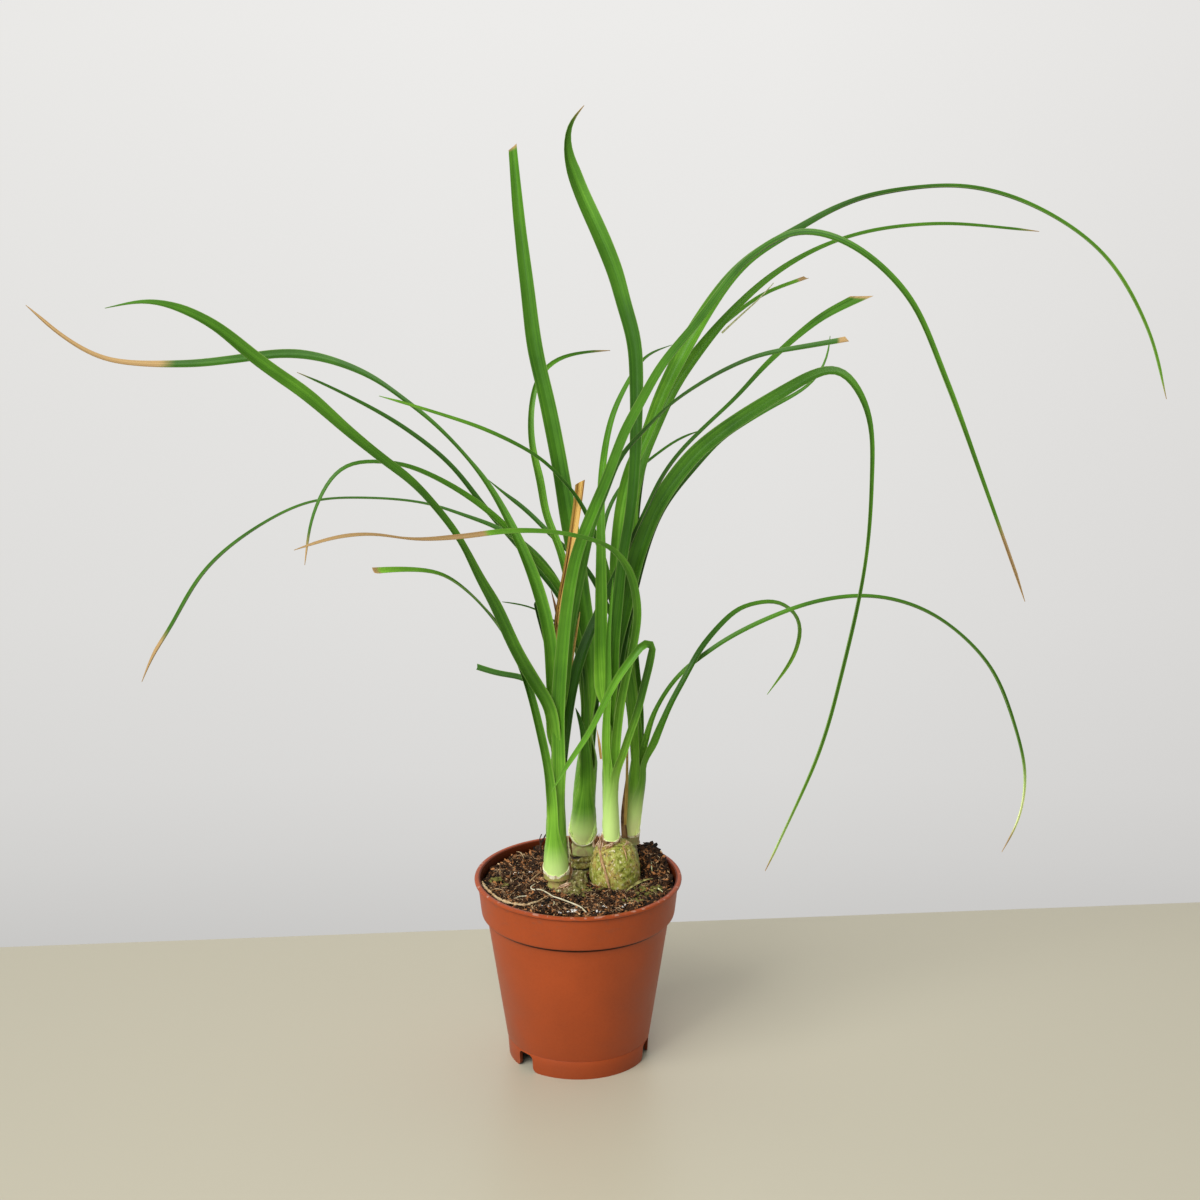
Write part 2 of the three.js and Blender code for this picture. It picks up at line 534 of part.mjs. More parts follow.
// A gap between two feet of the skirt, square at the top with rounded corners.
function notchSolid(angle) {
  const half = notch.width / 2;
  const { height, topRound, footRound } = notch;
  const outline = new THREE.Shape();
  outline.moveTo(-half - footRound, -1);
  outline.lineTo(half + footRound, -1);
  outline.lineTo(half + footRound, 0);
  outline.quadraticCurveTo(half, 0, half, footRound);
  outline.lineTo(half, height - topRound);
  outline.quadraticCurveTo(half, height, half - topRound, height);
  outline.lineTo(-half + topRound, height);
  outline.quadraticCurveTo(-half, height, -half, height - topRound);
  outline.lineTo(-half, footRound);
  outline.quadraticCurveTo(-half, 0, -half - footRound, 0);
  const depth = 8;
  const cut = new THREE.ExtrudeGeometry(outline, { depth, bevelEnabled: false, curveSegments: 5 });
  cut.rotateX(Math.PI / 2);
  cut.translate(0, depth / 2 - pot.skirtRadius, 0);
  cut.rotateZ(THREE.MathUtils.degToRad(angle));
  return solid(cut);
}

function drainSolid(turn) {
  const hole = new THREE.CylinderGeometry(drain.radius, drain.radius, 3 * pot.floor, drain.sides);
  hole.rotateX(Math.PI / 2);
  const angle = 2 * Math.PI * turn;
  hole.translate(drain.ring * Math.cos(angle), drain.ring * Math.sin(angle), pot.floorHeight + pot.floor / 2);
  return solid(hole);
}

// ---------------------------------------------------------------- soil and bulbs
function soilTop(x, y) {
  const { heap } = soil;
  const away = ((x - heap.x) ** 2 + (y - heap.y) ** 2) / (2 * heap.spread ** 2);
  const bumps = Math.sin(0.33 * x + 0.8) * Math.cos(0.37 * y - 0.4) + 0.5 * Math.sin(0.29 * (x + y) + 2);
  return soil.level + heap.rise * Math.exp(-away) + soil.front * Math.max(0, -y / 40) + soil.bump * bumps;
}

function soilSolid() {
  const inside = potWall().inside.map(([r, z]) => [r - 0.45, z]);
  const rim = inside[0][0] - 0.5;
  const around = (r, z) => Array.from({ length: soil.sectors }, (_, s) => {
    const angle = (2 * Math.PI * s) / soil.sectors;
    const [x, y] = [r * Math.cos(angle), r * Math.sin(angle)];
    return new THREE.Vector3(x, y, z ?? soilTop(x, y));
  });
  const rings = [];
  for (let i = 1; i <= soil.rings; i += 1) rings.push(around((rim * i) / soil.rings));
  for (const [r, z] of inside.slice(1)) rings.push(around(r, z));
  rings.at(-1).forEach((p) => { p.z += 0.5; });
  const centreTop = new THREE.Vector3(0, 0, soilTop(0, 0));
  const centreFoot = new THREE.Vector3(0, 0, rings.at(-1)[0].z);
  const points = [...rings.flat(), centreTop, centreFoot];
  const index = [];
  const n = soil.sectors;
  for (let r = 0; r + 1 < rings.length; r += 1) {
    for (let s = 0; s < n; s += 1) {
      const [a, b] = [r * n + s, r * n + ((s + 1) % n)];
      index.push(a, a + n, b + n, a, b + n, b);
    }
  }
  for (let s = 0; s < n; s += 1) {
    const last = (rings.length - 1) * n;
    index.push(points.length - 2, s, (s + 1) % n);
    index.push(points.length - 1, last + ((s + 1) % n), last + s);
  }
  const geometry = new THREE.BufferGeometry();
  const flat = points.flatMap((p) => [p.x, p.y, p.z]);
  geometry.setAttribute('position', new THREE.Float32BufferAttribute(flat, 3));
  geometry.setIndex(index);
  let body = solid(geometry);
  for (const { bulb } of Object.values(seedlings)) body = body.subtract(bulbSolid(bulb, gap));
  return body;
}

// A bulb: round below, drawn in at the top to the stub that carries the sheath.
function bulbSolid({ x, y, radius, foot, top, stub }, grow = 0) {
  const steps = 10;
  const middle = foot + (top - foot) * 0.5;
  const profile = [];
  for (let i = 0; i <= steps; i += 1) {
    const angle = -Math.PI / 2 + (Math.PI * i) / steps;
    const squareness = i > steps / 2 ? 0.86 : 1; // the shoulders are fuller than a ball's
    const r = (radius + grow) * Math.cos(angle) ** squareness;
    profile.push([i % steps === 0 ? 0 : r, middle + ((top - foot) / 2 + grow) * Math.sin(angle)]);
  }
  const ball = lathe(profile, 18);
  ball.translate(x, y, 0);
  const [stubX, stubY, stubRadius] = stub;
  const stubTop = top + 0.6;
  const neck = new THREE.CylinderGeometry(stubRadius + grow, stubRadius + 1 + grow, stubTop - middle, 14);
  neck.rotateX(Math.PI / 2);
  neck.translate(stubX, stubY, (stubTop + middle) / 2);
  return solid(ball).add(solid(neck));
}

// A papery ring, left from old leaves, round the foot of a sheath.
function collarSolid({ sheath, collar }) {
  const [x, y] = sheath[0];
  const inner = collar.radius + 0.1;
  const [foot, top] = [collar.foot, collar.foot + collar.height];
  const ring = lathe([
    [inner, foot], [inner + 0.7, foot + 0.2], [inner + 0.9, top - 0.4 * collar.height],
    [inner + 0.7, top], [inner, top - 0.1 * collar.height], [inner, foot],
  ], 16);
  ring.translate(x, y, 0);
  return solid(ring);
}

// ---------------------------------------------------------------- roots, stick and twig
function rodSolid(route, radius) {
  const sides = 6;
  const outline = new THREE.Shape();
  for (let s = 0; s < sides; s += 1) {
    const angle = (2 * Math.PI * s) / sides;
    const point = [radius * Math.cos(angle), radius * Math.sin(angle)];
    if (s === 0) outline.moveTo(...point);
    else outline.lineTo(...point);
  }
  const extrudePath = new THREE.CatmullRomCurve3(vectors(route));
  const steps = Math.ceil(extrudePath.getLength() / (4 * radius));
  return solid(new THREE.ExtrudeGeometry(outline, { steps, bevelEnabled: false, extrudePath }));
}

// A route on the ground lifted to lie on the soil.
function onSoil(route, radius) {
  return route.map(([x, y]) => [x, y, soilTop(x, y) + radius + 0.6]);
}

// ---------------------------------------------------------------- the plant
const leafGreen = material(0x4d8a2a, 0.5);
const bark = material(0x8f9a52, 0.85);
const paper = material(0xcdbb86, 0.8);
const terracotta = material(0xac522e, 0.5);
const peat = material(0x3b2a20, 0.95);
const strawYellow = material(0xc79a4a, 0.7);
const rootCream = material(0xd9c79a, 0.75);
const wood = material(0x4a3424, 0.9);

const plant = new THREE.Group();
plant.add(named('pot', potSolid(), terracotta));
plant.add(named('soil', soilSolid(), peat));

const bladesOf = { left: leftBlades, back: backBlades, middle: middleBlades, right: rightBlades };
for (const [place, seedling] of Object.entries(seedlings)) {
  plant.add(named(`bulb_${place}`, bulbSolid(seedling.bulb), bark));
  plant.add(named(`collar_${place}`, collarSolid(seedling), paper));
  plant.add(named(`leaves_${place}`, shootSolid(seedling, bladesOf[place]), leafGreen));
}
plant.add(named('straw_leaf', bladeSolid(dryBlades.straw), strawYellow));
plant.add(named('cream_root', rodSolid(onSoil(creamRoot, 0.6), 0.6), rootCream));
plant.add(named('white_root', rodSolid(onSoil(whiteRoot, 0.45), 0.45), rootCream));
plant.add(named('stick', rodSolid(onSoil(stickRoute, 0.6), 0.6), wood));
const twigRoute = twig.route.map(([x, y, z]) => [x, y, soilTop(-16.5, 28) + 2 * gap + z]);
plant.add(named('twig', rodSolid(twigRoute, twig.radius), wood));

export default plant;
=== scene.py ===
# A potted ponytail palm in its nursery pot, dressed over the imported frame.
# Lengths in the dictionaries are millimetres in the frame's own axes: +Z up, the front is -Y.

import math
import random

import bpy
from mathutils import Euler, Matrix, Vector, noise


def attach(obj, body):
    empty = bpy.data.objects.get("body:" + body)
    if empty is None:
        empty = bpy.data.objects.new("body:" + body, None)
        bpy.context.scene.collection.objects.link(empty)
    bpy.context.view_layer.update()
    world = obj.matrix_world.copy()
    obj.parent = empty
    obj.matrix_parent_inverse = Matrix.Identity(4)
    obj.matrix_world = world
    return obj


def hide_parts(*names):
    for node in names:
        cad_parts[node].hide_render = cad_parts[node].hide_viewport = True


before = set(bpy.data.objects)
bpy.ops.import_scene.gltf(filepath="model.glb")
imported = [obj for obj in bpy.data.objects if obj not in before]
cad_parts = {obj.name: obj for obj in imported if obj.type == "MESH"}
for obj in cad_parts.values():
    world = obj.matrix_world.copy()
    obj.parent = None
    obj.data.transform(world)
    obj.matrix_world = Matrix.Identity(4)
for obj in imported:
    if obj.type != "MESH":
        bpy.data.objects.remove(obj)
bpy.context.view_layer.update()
mm = 0.001
dice = random.Random(7)
print("frame loaded")


def newObject(name, data):
    made = bpy.data.objects.new(name, data)
    bpy.context.scene.collection.objects.link(made)
    return made


view = {"aim": (9.5, 0, 209.5), "distance": 1406.5, "pitch": 18.93, "lens": 100, "sensor": 36, "far": 20}


def addCamera():
    data = bpy.data.cameras.new("plantCamera")
    data.lens = view["lens"]
    data.sensor_width = view["sensor"]
    data.clip_end = view["far"]
    camera = newObject("plantCamera", data)
    pitch, back = math.radians(view["pitch"]), view["distance"]
    x, y, z = view["aim"]
    camera.location = Vector((x, y - back * math.cos(pitch), z + back * math.sin(pitch))) * mm
    camera.rotation_euler = (math.pi / 2 - pitch, 0, 0)
    bpy.context.scene.camera = camera


addCamera()
print("camera")


# Materials. A value for a node is a number, a colour or another node's output, and each helper adds
# its node to the tree that the output belongs to.
def setSockets(node, **values):
    for key, value in values.items():
        socket = node.inputs[int(key[1:]) if key[1:].isdigit() else key.replace("_", " ")]
        if isinstance(value, bpy.types.NodeSocket):
            socket.id_data.links.new(value, socket)
        elif socket.type == "RGBA":
            socket.default_value = (*value, 1)
        else:
            socket.default_value = value


def newMaterial(name, **sockets):
    material = bpy.data.materials.new(name)
    material.use_nodes = True
    shader = material.node_tree.nodes["Principled BSDF"]
    setSockets(shader, **sockets)
    return material, shader


def addNode(tree, kind, output, settings=None, **inputs):
    node = tree.nodes.new("ShaderNode" + kind)
    for key, value in (settings or {}).items():
        setattr(node, key, value)
    setSockets(node, **inputs)
    return node.outputs[output]


def stretched(point, stretch):
    return addNode(point.id_data, "Mapping", "Vector", Vector=point, Scale=stretch)


def objectPoint(tree, stretch=(1, 1, 1)):
    return stretched(addNode(tree, "TexCoord", "Object"), stretch)


def axisOf(point, axis):
    return addNode(point.id_data, "SeparateXYZ", axis, Vector=point)


# The three values that a mesh holds at each corner.
def tonesOf(tree):
    tone = addNode(tree, "Attribute", "Color", {"attribute_name": "leafTone"})
    return list(addNode(tree, "SeparateColor", 0, Color=tone).node.outputs)


def speckle(point, scale, detail, rough=0.55):
    return addNode(point.id_data, "TexNoise", "Fac", Vector=point, Scale=scale, Detail=detail,
                   Roughness=rough)


def ramp(value, stops):
    colour = addNode(value.id_data, "ValToRGB", "Color", Fac=value)
    elements = colour.node.color_ramp.elements
    while len(elements) < len(stops):
        elements.new(0.5)
    for element, (place, tint) in zip(elements, stops):
        element.position = place
        element.color = (*tint, 1)
    return colour


def mixColour(amount, first, second, kind="MIX"):
    tree = next(v.id_data for v in (amount, first, second) if isinstance(v, bpy.types.NodeSocket))
    settings = {"data_type": "RGBA", "blend_type": kind}
    return addNode(tree, "Mix", 2, settings, i0=amount, i6=first, i7=second)


def mathNode(kind, first, second=0.0, clamp=False):
    return addNode(first.id_data, "Math", 0, {"operation": kind, "use_clamp": clamp}, i0=first, i1=second)


def times(first, second, clamp=False):
    return mathNode("MULTIPLY", first, second, clamp)


def band(value, low, high, outLow=0.0, outHigh=1.0):
    return addNode(value.id_data, "MapRange", "Result", Value=value, From_Min=low, From_Max=high,
                   To_Min=outLow, To_Max=outHigh)


def bump(shader, height, strength, distance):
    setSockets(shader, Normal=addNode(
        shader.id_data, "Bump", "Normal", Height=height, Strength=strength, Distance=distance))


def newPiece(name, points, faces, material, replaced=(), uvs=None, tones=None, sharp=40):
    mesh = bpy.data.meshes.new(name)
    mesh.from_pydata([Vector(p) * mm for p in points], [], faces)
    if uvs:
        layer = mesh.uv_layers.new(name="leafPlace")
        for loop in mesh.loops:
            layer.data[loop.index].uv = uvs[loop.vertex_index]
    if tones:
        layer = mesh.color_attributes.new("leafTone", "FLOAT_COLOR", "POINT")
        for place, tone in enumerate(tones):
            layer.data[place].color = tone
    mesh.validate()
    mesh.polygons.foreach_set("use_smooth", [True] * len(mesh.polygons))
    mesh.set_sharp_from_angle(angle=math.radians(sharp))
    mesh.materials.append(material)
    piece = newObject(name, mesh)
    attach(piece, "root")
    if replaced:
        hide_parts(*replaced)
    return piece


def smooth(low, high, value):
    x = min(1.0, max(0.0, (value - low) / (high - low)))
    return x * x * (3 - 2 * x)


# The value at a share u of a list of numbers or of directions.
def along(values, u):
    x = min(max(u, 0.0), 1.0) * (len(values) - 1)
    i = min(int(x), len(values) - 2)
    w = x - i
    if isinstance(values[0], (int, float)):
        return values[i] * (1 - w) + values[i + 1] * w
    return Vector(values[i]).lerp(Vector(values[i + 1]), w)


# A curve through the route, with a point every step or so.
def curvePoints(route, step):
    knots = [Vector(p) for p in route]
    knots = [2 * knots[0] - knots[1], *knots, 2 * knots[-1] - knots[-2]]
    points = []
    for before, start, end, after in zip(knots, knots[1:], knots[2:], knots[3:]):
        d0, d1, d2 = [math.sqrt((q - p).length) for p, q in ((before, start), (start, end), (end, after))]
        t1 = ((start - before) / d0 - (end - before) / (d0 + d1) + (end - start) / d1) * d1
        t2 = ((end - start) / d1 - (after - start) / (d1 + d2) + (after - end) / d2) * d1
        parts = max(1, round((end - start).length / step))
        for k in range(parts):
            w = k / parts
            square = (3 * (end - start) - 2 * t1 - t2) * w * w
            points.append(start + t1 * w + square + (2 * (start - end) + t1 + t2) * w ** 3)
    points.append(knots[-2])
    return points


def relax(points, rounds):
    for _ in range(rounds):
        inner = [(p + 2 * q + r) / 4 for p, q, r in zip(points, points[1:], points[2:])]
        points = [points[0], *inner, points[-1]]
    return points


def lengthsAlong(points):
    lengths = [0.0]
    for p, q in zip(points, points[1:]):
        lengths.append(lengths[-1] + (q - p).length)
    return lengths


def tangentsAlong(points):
    ends = [points[0], *points, points[-1]]
    return [(q - p).normalized() for p, q in zip(ends, ends[2:])]


def circle(count):
    return [(math.cos(2 * math.pi * s / count), math.sin(2 * math.pi * s / count)) for s in range(count)]


# Rings of points round an upright axis, for a profile of (radius, height).
def turned(profile, count, centre=(0, 0)):
    return [(centre[0] + r * c, centre[1] + r * s, z) for r, z in profile for c, s in circle(count)]


# Faces between rings of equal size, and a flat end on each side where it is closed.
def ringFaces(rings, size, first=0, closed=True):
    faces = []
    for r in range(rings - 1):
        for s in range(size):
            a = first + r * size + s
            b = first + r * size + (s + 1) % size
            faces.append((a, b, b + size, a + size))
    if closed:
        last = first + (rings - 1) * size
        faces.append(tuple(first + s for s in reversed(range(size))))
        faces.append(tuple(last + s for s in range(size)))
    return faces


# A shoot's sheath: its axis from foot to top with a radius at each place, the height where its leaf
# feet start, how far its pale foot reaches above that, and how much painted light brightens that foot,
# above 1 for the back shoots that lie in shade.
seedlings = {
    "left": {"sheath": [(-9, -5, 83), (-9.5, -5, 90), (-9.5, -5, 102), (-9.5, -5, 120), (-9, -5, 134),
        (-8, -5, 146)], "radius": [5.3, 5.6, 4.7, 4, 3.6, 1.2], "foot": 86, "pale": 17, "paintedLight": 1},
    "back": {"sheath": [(2.2, 18, 90), (1.9, 18, 96), (2.3, 18, 103), (2.6, 19, 113), (4, 20, 129),
        (4, 21, 144)], "radius": [4.1, 6.2, 5.7, 5.1, 4.5, 1.4], "foot": 90.4, "pale": 19, "paintedLight": 1.5},
    "middle": {"sheath": [(14.5, 1, 98.6), (14.2, 1, 104), (13.9, 1, 118), (14, 1, 130), (14.2, 1, 142),
        (14.2, 1, 156)], "radius": [3.5, 3.9, 3.5, 3.6, 3.4, 1.2], "foot": 98.8, "pale": 40, "paintedLight": 1},
    "right": {"sheath": [(23.4, 19, 93), (23.8, 19, 99), (24.6, 19, 110), (25.9, 20, 122), (26, 21, 140)],
        "radius": [3.1, 3.5, 3.9, 4, 1.2], "foot": 93.2, "pale": 28, "paintedLight": 1.6},
}

# Each leaf: its middle line, its width and where its face looks at even steps along it, how dark
# its green is, and where it turns dry as a share of its length. A cut leaf has no point.
leaves = {
    "left": {
        "wideLeft": {"route": [(-9, -6, 98), (-10, -8, 136), (-12, -12, 164), (-19, -17, 179),
            (-25, -23, 193), (-34, -31, 218), (-40, -36, 231), (-48, -42, 250), (-56, -46, 263),
            (-67, -52, 278), (-77, -55, 287), (-90, -60, 300), (-106, -65, 317), (-124, -70, 332),
            (-143, -75, 349), (-164, -79, 358), (-181, -81, 356)],
            "width": [6, 6.2, 5.6, 5.2, 3.4, 4.2, 4.3, 5.2, 5.2, 4.4, 2.4], "face": [(0.9, -0.5, 0),
            (0.3, -0.9, 0.35), (0.75, -0.4, 0.3), (0, -0.85, 0.5), (0, -0.3, 1)],
            "shade": [0.55, 0.43, 0.45, 0.36, 0.5]},
        "longLeft": {"route": [(-9, -2, 101), (-10, -3, 147), (-11, -2, 170), (-12, -2, 192), (-15, 0, 207),
            (-23, 4, 229), (-38, 12, 257), (-59, 22, 279), (-73, 28, 289), (-87, 35, 297), (-106, 45, 302),
            (-124, 54, 302), (-148, 63, 297), (-170, 71, 293), (-207, 84, 292), (-227, 91, 301),
            (-243, 98, 313)], "width": [6, 6.2, 5, 2, 2.4, 4.6, 4.2, 2.4, 1.4], "face": [(0.3, -1, 0),
            (0.4, -0.9, 0.2), (0.5, -0.5, 0.7), (0, -0.7, 0.7), (0, -0.7, 0.8), (0, -0.5, 0.9)],
            "shade": [0.35, 0.35, 0.6, 0.62, 0.5], "dryFrom": 0.795},
        "lowLeft": {"route": [(-10, -9, 104), (-12, -10, 129), (-16, -12, 153), (-22, -17, 180),
            (-30, -24, 202), (-43, -34, 223), (-56, -44, 236), (-69, -52, 240), (-81, -60, 242)],
            "width": [5, 4.6, 4.2, 3.6, 3, 2, 2.4, 3], "face": [(0.8, -0.6, 0), (0.5, -0.8, 0.3),
            (0, -0.2, 1), (0, -0.6, 0.7)], "shade": [0.35, 0.45, 0.6, 0], "dryFrom": 0.985, "cut": True},
        "shortLeft": {"route": [(-9, 0, 118), (-11, 2, 148), (-14, 7, 163), (-22, 15, 168), (-34, 24, 167),
            (-44, 33, 167)], "width": [4.2, 3.4, 3.2], "face": [(0.8, 0.2, 0.3), (0.3, -0.6, 0.8),
            (0.1, -0.6, 0.8)], "shade": [0.6, 0.6, 0.7, 0.85, 0.7], "cut": True},
        "darkStub": {"route": [(-9, 2, 118), (-10, 3, 163), (-13, 4, 186), (-16, 4, 198), (-18, 4, 207)],
            "width": [4, 2.8, 2], "face": [(1, -0.3, 0), (0.5, -0.8, 0.2)], "shade": [0.9, 0.9],
            "cut": True},
        "farArch": {"route": [(-9, -8, 98), (-8, -9, 136), (-8, -10, 164), (-6, -11, 193), (-4, -13, 212),
            (-1, -15, 230), (3, -17, 244), (12, -22, 268), (16, -25, 280), (20, -29, 292), (26, -32, 304),
            (35, -37, 322), (49, -43, 341), (68, -50, 368), (87, -57, 380), (106, -64, 377),
            (128, -71, 359), (144, -78, 325), (165, -85, 271), (177, -88, 239)],
            "width": [5.6, 6, 5.2, 4.4, 4.2, 4, 3.6, 3, 2.4, 1.6], "face": [(-0.3, -1, 0),
            (-0.2, -0.95, 0.25), (-0.3, -0.8, 0.5), (-0.1, -0.35, 0.9), (0.7, -0.7, 0.5), (0.8, -0.6, 0.3)],
            "shade": [0.55, 0.35, 0.5, 0.62, 0.35, 0.2], "dryFrom": 0.931},
        "cutRight": {"route": [(-8, -5, 102), (-7, -5, 144), (-5, -5, 171), (-3, -6, 199), (0, -7, 216),
            (3, -9, 231), (7, -11, 248), (12, -14, 261), (18, -18, 277), (29, -24, 292), (38, -29, 303),
            (50, -34, 313), (60, -38, 320), (73, -43, 327), (86, -48, 331), (107, -56, 337)],
            "width": [6, 6.2, 4.8, 3, 1.9, 2.4, 2.8], "face": [(-0.6, -0.8, 0), (-0.3, -0.9, 0.2),
            (-0.3, -0.4, 0.9), (0, -0.6, 0.8)], "shade": [0.5, 0.5, 0.5, 0.75, 0.8, 0.55], "dryFrom": 0.985,
            "cut": True},
        "darkRight": {"route": [(-8, -2, 101), (-6, -2, 135), (-4, -1, 156), (-1, 1, 173), (3, 4, 186),
            (10, 9, 202), (18, 8, 221), (29, 3, 248), (36, 1, 264), (43, -2, 275), (53, -6, 287),
            (66, -13, 302), (78, -20, 318), (99, -30, 340), (114, -37, 350)],
            "width": [6.2, 6.4, 5, 3.4, 2.6, 2.1, 2.7, 4], "face": [(-0.8, -0.6, 0), (-0.5, -0.8, 0.3),
            (-0.6, -0.3, 0.8), (-0.4, -0.6, 0.7), (-0.2, -0.9, 0.4)],
            "shade": [0.7, 0.7, 0.8, 0.75, 0.5, 0.5], "dryFrom": 0.99, "cut": True, "slant": 1.2},
    },
    "back": {
        "upright": {"route": [(3, 20, 110), (5, 22, 138), (5, 24, 160), (4, 25, 180), (2, 26, 198),
            (0, 27, 215), (-3, 28, 230), (-8, 31, 261), (-13, 35, 287), (-18, 39, 309), (-21, 43, 334),
            (-24, 48, 359), (-27, 54, 392)], "width": [7.2, 7.6, 7.4, 7, 6.4, 5.6, 3.6],
            "face": [(0.2, -1, 0.1), (0.1, -1, 0.1), (-0.2, -1, 0.1)], "shade": [0.5, 0.5, 0.5, 0.45],
            "dryFrom": 0.996, "cut": True},
        "hookLeft": {"route": [(3, 17, 111), (3, 15, 150), (0, 15, 186), (-6, 14, 206), (-13, 13, 217),
            (-21, 12, 226), (-34, 9, 242), (-50, 5, 256), (-72, -1, 269), (-87, -6, 272), (-93, -8, 272),
            (-100, -10, 268), (-109, -14, 252), (-113, -18, 231)],
            "width": [5.2, 4.6, 3.8, 3.8, 3.8, 3.2, 2.4, 2, 1.2], "face": [(0.8, -0.6, 0.1),
            (0.5, -0.7, 0.5), (0.1, -0.5, 0.85), (-0.2, -0.4, 0.9), (-0.7, -0.6, 0.4)],
            "shade": [0.55, 0.45, 0.32, 0.5, 0.6], "dryFrom": 0.95},
        "sweepLeft": {"route": [(2, 21, 110), (2, 23, 156), (-3, 25, 190), (-10, 27, 209), (-21, 31, 222),
            (-34, 37, 229), (-48, 45, 232), (-65, 54, 235), (-92, 66, 234), (-119, 76, 229),
            (-147, 85, 212), (-168, 91, 192), (-186, 96, 162), (-194, 98, 149), (-200, 99, 136)],
            "width": [5, 4.4, 3.2, 1.5, 1.4, 2.4, 3.4, 2.2], "face": [(0.8, -0.5, 0.2), (0.4, -0.5, 0.7),
            (0, -0.3, 0.9), (-0.5, -0.3, 0.8), (-0.7, -0.5, 0.6)],
            "shade": [0.4, 0.5, 0.65, 0.65, 0.6, 0.55], "dryFrom": 0.917},
        "innerLeft": {"route": [(3, 15, 117), (2, 16, 158), (-2, 16, 194), (-7, 17, 210), (-15, 19, 219),
            (-25, 22, 225)], "width": [4, 3.2, 0.8], "face": [(0.7, -0.6, 0.2), (0.4, -0.6, 0.6)],
            "shade": [0.4, 0.2, 0.1]},
        "thinLeft": {"route": [(3, 25, 113), (3, 30, 153), (-5, 36, 192), (-22, 43, 214), (-40, 49, 234),
            (-56, 55, 253), (-78, 61, 269), (-103, 66, 282), (-122, 70, 290)],
            "width": [4.4, 4, 3.2, 2.8, 2.6, 1.4], "face": [(0.6, -0.6, 0.3), (0.4, -0.6, 0.7),
            (0.2, -0.3, 0.9)], "shade": [0.6, 0.6, 0.64, 0.58], "dryFrom": 0.98},
        "backHook": {"route": [(3, 27, 112), (3, 33, 152), (-2, 41, 191), (-9, 48, 219), (-14, 51, 230),
            (-17, 55, 246), (-20, 58, 257), (-21, 62, 268), (-20, 66, 279), (-17, 71, 288), (-9, 77, 294),
            (2, 84, 295), (14, 92, 294)], "width": [5.2, 4.6, 4, 3.6, 3.5, 4.1, 2.8, 1.9, 1.2],
            "face": [(0.3, -0.9, 0.2), (0.2, -0.9, 0.2), (0.5, -0.6, 0.4), (0.1, -0.5, 0.9)],
            "shade": [0.45, 0.3, 0.14, 0.55], "dryFrom": 0.96},
        "backRight": {"route": [(4, 27, 112), (6, 29, 154), (9, 31, 190), (10, 33, 214), (12, 38, 234),
            (19, 46, 246), (32, 57, 255), (45, 65, 262), (54, 70, 264)],
            "width": [4.6, 3.6, 2.8, 2.2, 1.6, 1.2], "face": [(-0.3, -0.9, 0.1), (-0.5, -0.8, 0.3),
            (-0.3, -0.5, 0.9)], "shade": [0.6, 0.65, 0.5]},
        "hair": {"route": [(3, 15, 122), (3, 13, 164), (0, 12, 184), (-9, 12, 195), (-19, 9, 203),
            (-32, 5, 207)], "width": [3, 2, 1.2, 0.7], "face": [(0.6, -0.6, 0.3), (0.2, -0.4, 0.9)],
            "shade": [0.7, 0.7]},
        "shortPoint": {"route": [(2, 14, 113), (3, 12, 132), (2, 11, 146), (-1, 10, 157)],
            "width": [5.5, 4.6, 1], "face": [(0.4, -0.9, 0.1), (0.6, -0.8, 0.1)], "shade": [0.85, 0.85],
            "taper": 0.2},
        "shortBack": {"route": [(3, 27, 107), (5, 30, 134), (7, 33, 152), (9, 37, 171), (10, 42, 195)],
            "width": [6.2, 5.2, 1.2], "face": [(-0.3, -0.95, 0.1), (-0.3, -0.95, 0.1)],
            "shade": [0.7, 0.7]},
    },
    "middle": {
        "paleMiddle": {"route": [(14, 0, 118), (12, 0, 144), (11, 0, 167), (10, 0, 189), (10, 0, 210),
            (10, 3, 231), (10, 8, 250), (11, 13, 266), (15, 20, 285), (22, 28, 298), (28, 34, 306),
            (34, 39, 308), (40, 44, 309)], "width": [6, 6.4, 5.2, 3.6, 3, 2.2, 1.2],
            "face": [(-0.1, -1, 0.1), (0, -1, 0.1), (-0.3, -0.9, 0.3), (-0.1, 0, 1)],
            "shade": [0.42, 0.28, 0.32, 0.5]},
        "twisted": {"route": [(14, 2, 118), (14, 3, 150), (15, 3, 186), (18, 3, 213), (20, 3, 231),
            (22, 4, 242), (24, 7, 259), (25, 11, 285), (25, 15, 301), (24, 18, 317), (19, 22, 334),
            (16, 24, 345), (10, 27, 359), (0, 31, 380), (-5, 33, 395), (-4, 34, 405), (3, 35, 413)],
            "width": [5.8, 6, 5.2, 4.6, 5, 5.9, 6.4, 7.1, 6.9, 2.2], "face": [(0.3, -1, 0.1),
            (-0.5, -0.9, 0.1), (-0.3, -0.95, 0.1), (0.1, -1, 0.1), (0.9, -0.6, 0.1)],
            "shade": [0.65, 0.58, 0.7, 0.42, 0.4], "dryFrom": 0.975, "taper": 0.11},
        "wideRight": {"route": [(15, 3, 117), (15, 4, 154), (16, 6, 183), (21, 9, 205), (26, 12, 226),
            (34, 14, 247), (46, 14, 265), (52, 13, 272), (62, 11, 281), (72, 8, 289), (81, 4, 296),
            (95, -1, 306), (102, -4, 310), (107, -6, 311), (111, -8, 309), (115, -10, 304), (119, -12, 296),
            (121, -14, 286), (121, -18, 268), (119, -23, 235), (111, -28, 193), (101, -34, 155),
            (79, -41, 103)], "width": [6.2, 7.4, 8, 6.6, 5.4, 2.4, 2.3, 2.5, 2.2, 1.2],
            "face": [(-0.6, -0.8, 0.1), (-0.4, -0.9, 0.3), (-0.3, -0.9, 0.4), (0.2, -0.5, 0.8),
            (0.8, -0.6, 0.3), (0.8, -0.6, 0.1), (0.8, -0.6, 0)], "shade": [0.42, 0.5, 0.45, 0.38, 0.1],
